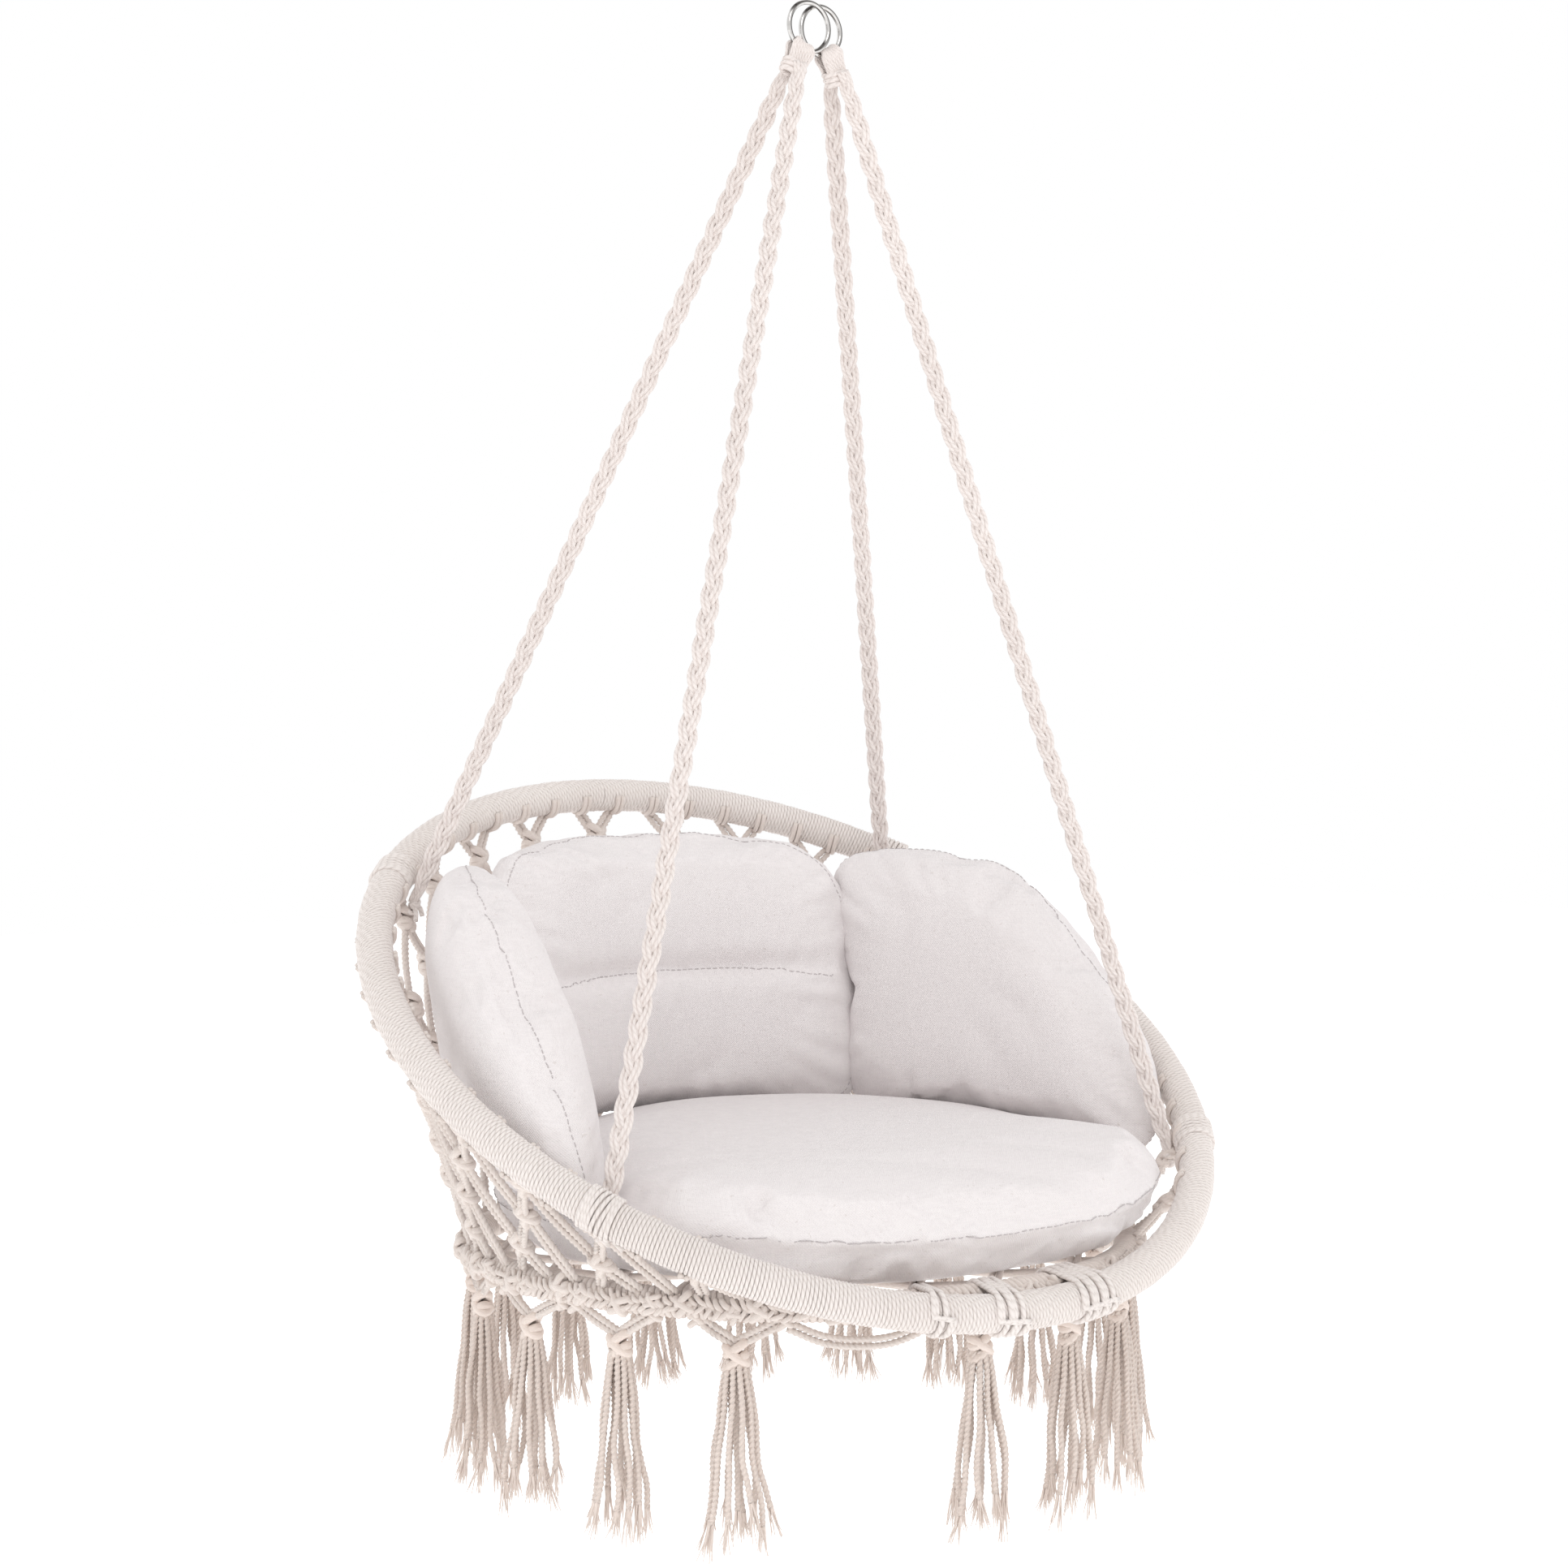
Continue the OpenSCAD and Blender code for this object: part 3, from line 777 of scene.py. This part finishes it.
def make_lashing(name, middle_angle, turns):
    """Turns of cord round both hoops. Every third one crosses the others at a steeper slant."""
    mesh = Mesh()
    for i in range(turns):
        a = middle_angle + (i - (turns - 1) / 2) * LASHING_PITCH
        rim = rim_point(a)
        base_a = math.degrees(math.atan2(rim[0], BASE_CENTRE[1] - rim[1]))
        along = unit(rim_along(a) + unit(np.cross(BASE_UP, base_out(base_a))))
        slant = 9 if i % 3 == 1 else 2.5
        loop = belt(rim, RIM_COVER_R + 1.4, base_point(base_a), BASE_COVER_R + 1.4,
                    along, 0.0, slant)
        cord(mesh, loop, LASHING_CORD_R, loop - rim, closed=True)
    piece = mesh.make(f"lashing_cord_{name}", wrap_cotton)
    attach(piece, "chair")
    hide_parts(f"lashing_{name}")


# ---------------------------------------------------------------- net

def double_cord(mesh, start, end, out, sag=0.0, gap=3.0):
    """Two three-ply cords side by side from start to end, bowed by sag along out."""
    line = end - start
    side = unit(np.cross(line, out))
    for s in (-1, 1):
        middle = (start + end) / 2 + out * sag + side * s * gap
        points = [start + side * s * gap * 0.75, middle, end + side * s * gap * 0.75]
        cord(mesh, curve_through(points, NET_SPACING), NET_CORD_R, out, plies=3,
             corners=3, lay=14, start=s)


def net_rows(a):
    """Depths of the rows of knots below the rim, down to the base hoop, at angle a."""
    depth, rows = NET_FIRST_ROW, []
    while depth < wall_height(a) - BASE_COVER_R - 16:
        rows.append(depth)
        depth += NET_ROW
    return rows


def make_net(name, first, last):
    """Net between two angles: V pairs from the rim, then rows of knotted diamonds."""
    mesh = Mesh()
    columns = [c for c in range(-NET_COLUMNS // 2, NET_COLUMNS // 2)
               if first <= (c * NET_PITCH) % 360 < last]
    for c in columns:
        for row in range(NET_MOST_ROWS):
            a = (c + 0.5 * (row % 2)) * NET_PITCH
            if abs((a + 180) % 360 - 180) < NET_FRONT_ANGLE:
                continue
            rows = net_rows(a)
            if row >= len(rows):
                continue
            out = base_out(a)
            wiggle = 0.5 * math.sin(c * 5.3 + row * 2.1)
            here = wall_point(a + wiggle, rows[row], 2 * math.sin(c * 3.1 + row))
            down = unit(base_point(a) - rim_point(a))
            knot(mesh, here, down, out, NET_KNOT)
            if row == 0:
                for s in (-1, 1):
                    up = a + s * NET_PITCH * 0.25
                    double_cord(mesh, rim_point(up, -6, -13), here, out, 1.0)
                    make_rim_loop(mesh, up)
            for s in (-0.5, 0.5):
                b = a + s * NET_PITCH
                deeper = net_rows(b)
                if row + 1 < len(deeper):
                    end = wall_point(b, deeper[row + 1])
                    double_cord(mesh, here, end, out, 2.5)
                else:
                    double_cord(mesh, here, base_point(a + s * NET_PITCH * 0.6, 6, 8), out, 1.0)
    piece = mesh.make(f"knotted_net_{name}", net_cotton)
    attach(piece, "chair")
    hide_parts(f"net_{name}")


def make_rim_loop(mesh, a):
    """A net cord's turns round the rim, on the net's side."""
    psi = np.radians(np.linspace(150, 320, 18))
    r = RIM_COVER_R + 1.2
    guide = rim_out(a) * np.cos(psi)[:, None] + RIM_UP * np.sin(psi)[:, None]
    for shift in (-0.4, 0.35):
        path = rim_point(a + shift + 0.25 * np.sin(psi), r * np.cos(psi), r * np.sin(psi))
        cord(mesh, path, 2.3, guide)


def make_seat_net():
    """Doubled cords across the base hoop, woven over and under each other."""
    mesh = Mesh()
    for direction in (45, 135):
        s, c = turned(direction)
        along, across = np.array([s, c, 0]), np.array([c, -s, 0])
        for i in range(-4, 5):
            half = math.sqrt(SEAT_NET_R ** 2 - (i * SEAT_NET_GAP) ** 2)
            t = np.arange(-half, half, 6)
            for strand in (-3.1, 3.1):
                sign = 1 if (i + direction // 90) % 2 else -1
                weave = 1.6 * sign * np.cos(math.pi * t / SEAT_NET_GAP)
                path = (BASE_CENTRE + t[:, None] * along
                        + across * (i * SEAT_NET_GAP + strand) + weave[:, None] * BASE_UP)
                cord(mesh, path, SEAT_NET_CORD_R, BASE_UP)
    piece = mesh.make("seat_net_cords", net_cotton)
    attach(piece, "chair")
    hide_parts("seat_net")


# ---------------------------------------------------------------- scallops and tassels

def tassel_angle(i):
    return TASSEL_EMPTY + TASSEL_PITCH * (i + 1)


def make_hangers():
    """The scalloped cords under the base hoop, two pairs to each tassel."""
    mesh = Mesh()
    for i in range(TASSEL_COUNT):
        a = tassel_angle(i)
        low = base_point(a, 0, -KNOT_DROP + 9)
        for s in (-1, 1):
            wide = 7.5 + 1.2 * math.sin(i * 2.3 + s)
            high = base_point(a + s * wide, 2, -BASE_COVER_R + 3)
            double_cord(mesh, high, low + base_out(a) * 0.5, base_out(a), 1.5, gap=2.8)
            knot(mesh, high, -BASE_UP, base_out(a), 8.5)
    # The empty tassel place keeps its two cords, slung level
    a = TASSEL_EMPTY
    points = [base_point(a + d, 1, z) for d, z in ((-12, -14), (-5, -27), (4, -28), (12, -15))]
    for shift in (-3, 3):
        path = curve_through(np.array(points) + [0, 0, shift], NET_SPACING)
        cord(mesh, path, NET_CORD_R, base_out(a), plies=3, corners=3, lay=14)
    piece = mesh.make("scallop_cords", net_cotton)
    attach(piece, "chair")
    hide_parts("tassel_hangers")


def make_tassel(i):
    """A knot and the strands that hang from it: one in the middle and the rest round it."""
    own = np.random.default_rng(100 + i)
    a = tassel_angle(i)
    out = base_out(a)
    along = np.cross(BASE_UP, out)
    mesh = Mesh()
    centre = base_point(a)
    knot(mesh, centre + [0, 0, -KNOT_DROP], -BASE_UP, out, TASSEL_KNOT)
    spin = own.random() * 2 * math.pi
    for k in range(STRANDS):
        turn = spin + 2 * math.pi * k / (STRANDS - 1)
        inner, outer = (0, 5) if k == STRANDS - 1 else (6.5, 17 + 8 * own.random())
        drop = TASSEL_DROP - 2 - FRAY - 22 * own.random() ** 2
        z = np.linspace(-KNOT_DROP - 3, -drop, 8)
        share = (z - z[0]) / (z[-1] - z[0])
        reach = inner + (outer - inner) * share ** 0.8
        sway = 3.0 * share[:, None] * np.stack([waves(z, 1000 * i + k, (70, 110)),
                                                waves(z, 2000 * i + k, (60, 130))], 1)
        points = (centre + (np.cos(turn) * reach + sway[:, 0])[:, None] * along * 1.05
                  + (np.sin(turn) * reach + sway[:, 1])[:, None] * out * 0.85)
        points[:, 2] += z
        path = curve_through(points, 1.75)
        cord(mesh, path, STRAND_R, out, plies=3, corners=4, lay=13.5, start=k)
        fray(mesh, path[-1], unit(path[-1] - path[-6]), FRAY * (0.75 + 0.35 * own.random()), own)
    piece = mesh.make(f"tassel_cords_{i + 1:02d}", tassel_cotton)
    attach(piece, f"tassel_{i + 1:02d}")
    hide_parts(f"tassel_{i + 1:02d}")


def fray(mesh, start, down, length, own):
    """Loose fibres at the end of a strand."""
    side = unit(np.cross(down, [0.3, 1, 0.1]))
    other = np.cross(down, side)
    for k in range(FIBRES):
        turn = 2 * math.pi * own.random()
        spread = 1.0 + 4.5 * own.random()
        reach = length * (0.65 + 0.35 * own.random())
        points = []
        for share in (-0.1, 0.3, 0.65, 1.0):
            bend = 0.6 * math.sin(4 * share + k)
            width = 1.4 + spread * max(share, 0) ** 1.3
            points.append(start + down * reach * share + side * (math.cos(turn) * width + bend)
                          + other * (math.sin(turn) * width))
        path = curve_through(points, 4)
        thin = np.linspace(0.85, 0.3, len(path))
        cord(mesh, path, thin, side, corners=4)


# ---------------------------------------------------------------- cushions

def pillow(outline, place, front, back, power=2.4, channel=None):
    """A closed lens over a flat outline. place maps pattern points and a height to space."""
    middle = (outline.max(0) + outline.min(0)) / 2
    rho = np.sin(np.linspace(0.06, math.pi / 2, 26))
    swell = (1 - rho ** power) ** 0.7
    rows = []
    for share, thick in [*zip(rho, swell * front), *zip(rho[-2::-1], -(swell * back)[-2::-1])]:
        flat = middle + share * (outline - middle)
        height = np.full(len(flat), thick)
        if channel is not None:
            height = height * channel(flat)
        rows.append(place(flat, height))
    mesh = Mesh()
    points = np.array(rows)[:, ::-1]
    count = len(outline)
    mesh.grid(points, np.linspace(0, 1, count + 1), np.linspace(0, 1, len(points)))
    return mesh


def points_of(mesh):
    """A Blender mesh's points, in metres."""
    co = np.zeros(len(mesh.vertices) * 3, np.float32)
    mesh.vertices.foreach_get("co", co)
    return co.reshape(-1, 3).astype(float)


def evaluated_mesh(piece):
    """A copy of the piece's mesh with its modifiers applied."""
    graph = bpy.context.evaluated_depsgraph_get()
    return bpy.data.meshes.new_from_object(piece.evaluated_get(graph))


def inflate(piece, pressure, cap):
    """Swells a cushion as a cloth bag, and keeps each point within cap mm of its start."""
    remesh = piece.modifiers.new("remesh", "REMESH")
    remesh.mode = "VOXEL"
    remesh.voxel_size = CUSHION_VOXEL * MM
    mesh = evaluated_mesh(piece)
    piece.modifiers.clear()
    piece.data = mesh
    rest = points_of(mesh)
    cloth = piece.modifiers.new("cloth", "CLOTH")
    settings = cloth.settings
    settings.quality = 5
    settings.mass = 0.3
    settings.tension_stiffness = 12
    settings.compression_stiffness = 12
    settings.shear_stiffness = 5
    settings.bending_stiffness = 0.4
    settings.use_pressure = True
    settings.uniform_pressure_force = pressure
    settings.shrink_min = -0.04
    settings.effector_weights.gravity = 0
    for step in range(1, CLOTH_STEPS + 1):
        bpy.context.scene.frame_set(step)
    moved = points_of(evaluated_mesh(piece))
    piece.modifiers.clear()
    bpy.context.scene.frame_set(1)
    shift = moved - rest
    size = np.linalg.norm(shift, axis=1, keepdims=True)
    rest = rest + shift * np.minimum(1, cap * MM / np.maximum(size, 1e-9))
    return rest


def finish_cushion(piece, points, name):
    """Gives a cushion its final points, cloth and declarations."""
    piece.data.vertices.foreach_set("co", (points * MM).astype(np.float32).ravel())
    piece.data.update()
    piece.data.polygons.foreach_set("use_smooth", np.ones(len(piece.data.polygons), bool))
    piece.data.materials.clear()
    piece.data.materials.append(cushion_canvas)
    smooth = piece.modifiers.new("smooth", "SUBSURF")
    smooth.levels = smooth.render_levels = 1
    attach(piece, "chair")
    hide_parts(name)


def stitches(name, points, line, spacing=6.5, length=4.2):
    """Thread along a seam: short stitches on the cushion's own surface."""
    tree = BVHTree.FromPolygons([tuple(p) for p in points[0]], points[1])
    line = curve_through(line, spacing)
    mesh = Mesh()
    for here, after in zip(line, line[1:]):
        way = unit(after - here)
        ends = []
        for share in (0, 0.5, 1.0):
            target = Vector(here + way * length * share)
            found = tree.find_nearest(target)
            lift = 0.35 if share == 0.5 else 0.0
            ends.append(np.array(found[0]) + np.array(found[1]) * lift)
        # A stitch whose ends fall on one point of the surface is left out
        gaps = np.linalg.norm(np.diff([*ends, ends[0]], axis=0), axis=1)
        if gaps.min() > 0.3:
            cord(mesh, np.array(ends), 0.45, np.array(found[1]), corners=5)
    piece = mesh.make(name, seam_thread)
    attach(piece, "chair")


def surface_of(piece):
    """Points in mm and faces of a cushion, for laying stitches on it."""
    mesh = evaluated_mesh(piece)
    faces = [tuple(p.vertices) for p in mesh.polygons]
    return points_of(mesh) / MM, faces


def seat_corner(t):
    """How far the seat's edge is pushed out towards each front rope, by the angle from +X."""
    off = [np.abs((t - corner + math.pi) % (2 * math.pi) - math.pi)
           for corner in (math.radians(-37), math.radians(-143))]
    return SEAT_CORNER * np.exp(-(np.minimum(*off) / math.radians(26)) ** 2)


def make_seat():
    """The round seat cushion, with its edge seam and corners towards the front ropes."""
    t = np.linspace(0, 2 * math.pi, 140, endpoint=False)
    edge_r = SEAT_R - 5 + 2.5 * (np.sin(5 * t + 1) + np.sin(9 * t)) + seat_corner(t)
    outline = np.stack([np.cos(t), np.sin(t)], 1) * edge_r[:, None]
    low, high = SEAT_H * SEAM_SHARE, SEAT_H * (1 - SEAM_SHARE)
    seam_z = SEAT_REST + low

    def place(flat, height):
        reach = np.hypot(flat[:, 0], flat[:, 1]) / SEAT_R
        corner = seat_corner(np.arctan2(flat[:, 1], flat[:, 0])) * np.minimum(1, reach) ** 4
        return np.stack([flat[:, 0], flat[:, 1] + SEAT_Y, seam_z + height + 0.6 * corner], 1)

    mesh = pillow(outline, place, high * 0.93, low * 0.92, 2.9)
    piece = mesh.make("seat_pad", cushion_canvas)
    p = inflate(piece, 4.0, 14) / MM
    r = np.hypot(p[:, 0], p[:, 1] - SEAT_Y)
    angle = np.arctan2(p[:, 1] - SEAT_Y, p[:, 0])
    p[:, 2] = np.maximum(p[:, 2], SEAT_REST + 0.3)
    # Puckers along the edge seam, and long soft creases across the top
    near = np.exp(-((r - SEAT_R) / 34) ** 2)
    pucker = 6.5 * near * np.abs(waves(angle * SEAT_R, 3, (53, 97, 171))) ** 0.7
    top = p[:, 2] > seam_z + 6
    crease = 5.0 * np.abs(waves(p[:, 0] * 0.5 + p[:, 1] * 0.8, 8, (130, 210, 370))) ** 0.7
    p[:, 2] += np.where(top, pucker + crease * (1 - near) - 3, -0.4 * pucker)
    # The seam draws the edge in
    edge = np.exp(-((p[:, 2] - seam_z) / 4) ** 2) * (r > 0.85 * SEAT_R)
    pull = 1 - edge * 3.0 / np.maximum(r, 1)
    limit = np.minimum(1, (SEAT_R + 1.5 + seat_corner(angle)) / np.maximum(r, 1))
    p[:, 0] *= pull * limit
    p[:, 1] = SEAT_Y + (p[:, 1] - SEAT_Y) * pull * limit
    p[:, 2] = np.maximum(p[:, 2], SEAT_REST + 0.3)
    p[:, 2] = np.minimum(p[:, 2], SEAT_REST + SEAT_H + 1.5)
    finish_cushion(piece, p, "seat_cushion")
    t = np.linspace(0, 2 * math.pi, 80)
    edge_r = SEAT_R - 2 + seat_corner(t)
    loop = np.stack([edge_r * np.cos(t), SEAT_Y + edge_r * np.sin(t),
                     seam_z + 0.6 * seat_corner(t)], 1)
    stitches("seat_seam_thread", surface_of(piece), loop)


def smooth_outline(corners, count=150, rounds=3):
    """A rounded outline inside a polygon's corners."""
    p = np.array(corners, float)
    for _ in range(rounds):
        after = np.roll(p, -1, 0)
        p = np.stack([0.75 * p + 0.25 * after, 0.25 * p + 0.75 * after], 1).reshape(-1, 2)
    p = np.vstack([p, p[:1]])
    length = np.concatenate([[0], np.cumsum(np.linalg.norm(np.diff(p, axis=0), axis=1))])
    even = np.linspace(0, length[-1], count, endpoint=False)
    return np.stack([np.interp(even, length, p[:, k]) for k in range(2)], 1)


class Wall:
    """A leaning, curved surface that a cushion's flat pattern (along, height) is laid on."""

    def __init__(self, axis, radius, slope, foot, start, way):
        self.axis, self.radius, self.slope, self.foot = np.array(axis), radius, slope, foot
        self.start, self.way = math.radians(start), way

    def place(self, flat, out):
        """The pattern's points on the surface, moved out from it."""
        a = self.start + self.way * flat[:, 0] / self.radius
        r = self.radius + self.slope * (flat[:, 1] - self.foot) + out
        return np.stack([self.axis[0] + r * np.sin(a), self.axis[1] - r * np.cos(a),
                         flat[:, 1]], 1)

    def locate(self, points):
        """Each point's pattern place (along, height), and its distance out from the surface."""
        x, y = points[:, 0] - self.axis[0], self.axis[1] - points[:, 1]
        a = (np.arctan2(x, y) - self.start + math.pi) % (2 * math.pi) - math.pi
        out = np.hypot(x, y) - self.radius - self.slope * (points[:, 2] - self.foot)
        return np.stack([self.way * a * self.radius, points[:, 2]], 1), out


def hollow_line(value, at, width, depth):
    """How far a surface draws in beside a sewn line."""
    return depth * np.exp(-(np.abs(value - at) / width) ** 1.6)


def net_surface():
    """The net's wall as a search tree, for keeping the cushions inside it."""
    a = np.arange(0, 360, 3.0)
    points = np.vstack([base_point(a), rim_point(a)])
    n = len(a)
    faces = [(i, (i + 1) % n, n + (i + 1) % n, n + i) for i in range(n)]
    return BVHTree.FromPolygons([tuple(p) for p in points], faces)


NET_SURFACE = net_surface()


def keep_inside(points, room):
    """Moves points that come within room mm of the net's wall back from it."""
    kept = points.copy()
    for i, p in enumerate(points):
        place, _, _, _ = NET_SURFACE.find_nearest(Vector(p))
        place = np.array(place)
        inward = unit(BASE_CENTRE * [1, 1, 0] + [0, 0, place[2]] - place)
        depth = (p - place) @ inward
        if p[2] < place[2] + room and depth < room:
            kept[i] = p + inward * (room - depth)
    return kept


def make_wall_cushion(name, node, outline, wall, front, back, channel_z=None):
    """A cushion on a wall: front and back are its thickness inside and outside the surface.

    channel_z is the height of a sewn line across it, if it has one.
    """
    def channel(flat):
        return 1 - hollow_line(flat[:, 1], channel_z, CHANNEL_W, 0.3)

    mesh = pillow(outline, lambda flat, thick: wall.place(flat, -thick), front, back, 3.2,
                  channel if channel_z else None)
    piece = mesh.make(name, cushion_canvas)
    p = inflate(piece, 3.0, 12) / MM
    flat, out = wall.locate(p)
    along, height = flat.T
    inner = out < 0
    middle = (outline.max(0) + outline.min(0)) / 2
    size = (outline.max(0) - outline.min(0)) / 2
    border = np.max(np.abs((flat - middle) / size), 1)
    near = np.clip((border - 0.62) / 0.3, 0, 1)
    # Soft folds run in from the edge seam, and a few long ones cross the middle
    bent = along * 0.7 + height * 0.8 + 30 * waves(height - 0.5 * along, 24, (150, 230))
    patch = np.clip(0.35 + waves(along - 0.7 * height, 26, (170, 290)), 0, 1)
    fold = 5.0 * patch * np.abs(waves(bent, 21, (110, 190, 330))) ** 0.8
    round_edge = np.arctan2((height - middle[1]) / size[1], (along - middle[0]) / size[0]) * 190
    pucker = near * 8.0 * np.abs(waves(round_edge, len(name), (43, 71, 113))) ** 0.7
    if channel_z:
        # The chamber line puckers the cloth beside it, and draws it in
        beside = hollow_line(height, channel_z, 30, 1.0)
        fold += beside * 1.5 * waves(along + 0.6 * height, 5, (23, 37, 58))
        out = out + hollow_line(height, channel_z, 4, 3.0) * np.where(inner, 1, -1)
    out = out - (fold + pucker - 3) * inner + 0.4 * pucker * ~inner
    finish_cushion(piece, keep_inside(wall.place(flat, out), NET_ROOM), node)
    surface = surface_of(piece)
    edge = wall.place(np.vstack([outline, outline[:1]])[::2], np.zeros(len(outline) // 2 + 1))
    stitches(f"{name}_seam_thread", surface, edge)
    if channel_z:
        span = np.linspace(outline[:, 0].min() + 5, outline[:, 0].max() - 5, 30)
        line = np.stack([span, np.full(30, float(channel_z))], 1)
        stitches(f"{name}_channel_thread", surface, wall.place(line, np.full(30, -40.0)))


def make_back():
    """The back cushion: a symmetrical pattern round the hoop's own axis, in two chambers."""
    wall = Wall(BASE_CENTRE[:2], 245, 28 / 250, BACK_FOOT, 180, 1)
    half = [(90, -732), (160, -750), (198, -790), (213, -868), (216, -960), (206, -1006),
            (110, -1014)]
    corners = [(0, -727), *half, (0, -1014), *[(-x, z) for x, z in half[::-1]]]
    make_wall_cushion("back_pad", "back_cushion", smooth_outline(corners), wall, 42, 44,
                      CHANNEL_Z)


def make_side(side, name):
    """The right cushion's pattern, along from the back; the left one is its mirror image."""
    wall = Wall((side * SIDE_AXIS[0], SIDE_AXIS[1]), 824, 0.15, SIDE_FOOT, side * 121.7, -side)
    corners = [(-12, -1016), (-16, -930), (-24, -850), (-34, -785), (-10, -756), (75, -750),
               (158, -764), (216, -812), (284, -882), (324, -950), (340, -1018), (300, -1026),
               (150, -1024)]
    make_wall_cushion(f"side_pad_{name}", f"side_cushion_{name}", smooth_outline(corners), wall,
                      42, 40)


# ---------------------------------------------------------------- floor and light

def make_stage():
    """A pale floor, a white world, a soft key light and a weaker fill, all sizes in metres."""
    mesh = bpy.data.meshes.new("floor")
    half, z = 9.0, FLOOR_Z * MM
    mesh.from_pydata([(-half, -half, z), (half, -half, z), (half, half, z), (-half, half, z)],
                     [], [(0, 1, 2, 3)])
    floor = bpy.data.objects.new("floor", mesh)
    bpy.context.scene.collection.objects.link(floor)
    n = Nodes("pale_floor")
    n.fixed(Base_Color=(0.9, 0.9, 0.9, 1), Roughness=0.9, Specular_IOR_Level=0.0,
            Emission_Color=(1, 1, 1, 1), Emission_Strength=0.45)
    mesh.materials.append(n.material)

    world = bpy.data.worlds.new("studio")
    world.use_nodes = True
    background = world.node_tree.nodes["Background"]
    background.inputs[0].default_value = (1, 1, 1, 1)
    background.inputs[1].default_value = 1.0
    bpy.context.scene.world = world
    bpy.context.scene.view_settings.view_transform = "Standard"

    for name, place, size, power in (("key", (-1.2, -2.2, 1.6), 1.6, 15.0),
                                     ("fill", (2.6, -1.6, 0.4), 2.0, 2.0)):
        data = bpy.data.lights.new(name, "AREA")
        data.size, data.energy = size, power
        light = bpy.data.objects.new(name, data)
        light.location = place
        aim = Vector((0, 0, -0.9)) - light.location
        light.rotation_mode = "QUATERNION"
        light.rotation_quaternion = aim.to_track_quat("-Z", "Y")
        bpy.context.scene.collection.objects.link(light)


# ---------------------------------------------------------------- build

for side, name in ((-1, "left"), (1, "right")):
    make_ring(side, name)
    make_strand_loops(side, name)
    make_whipping(side, name)
    for back, end in ((-1, "front"), (1, "back")):
        make_rope(side, back, f"{name}_{end}")
        make_hitch(side, back, f"{name}_{end}")

make_rim()
make_base()
for name, (angle, turns) in LASHING_TURNS.items():
    make_lashing(name, angle, turns)
make_net("right", 0, 148)
make_net("back", 148, 212)
make_net("left", 212, 360)
make_seat_net()
make_hangers()
for i in range(TASSEL_COUNT):
    make_tassel(i)
make_seat()
make_back()
make_side(-1, "left")
make_side(1, "right")

for node in ("rim_tube", "base_tube"):
    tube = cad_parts[node]
    tube.data.materials.clear()
    tube.data.materials.append(tube_coat)

make_stage()
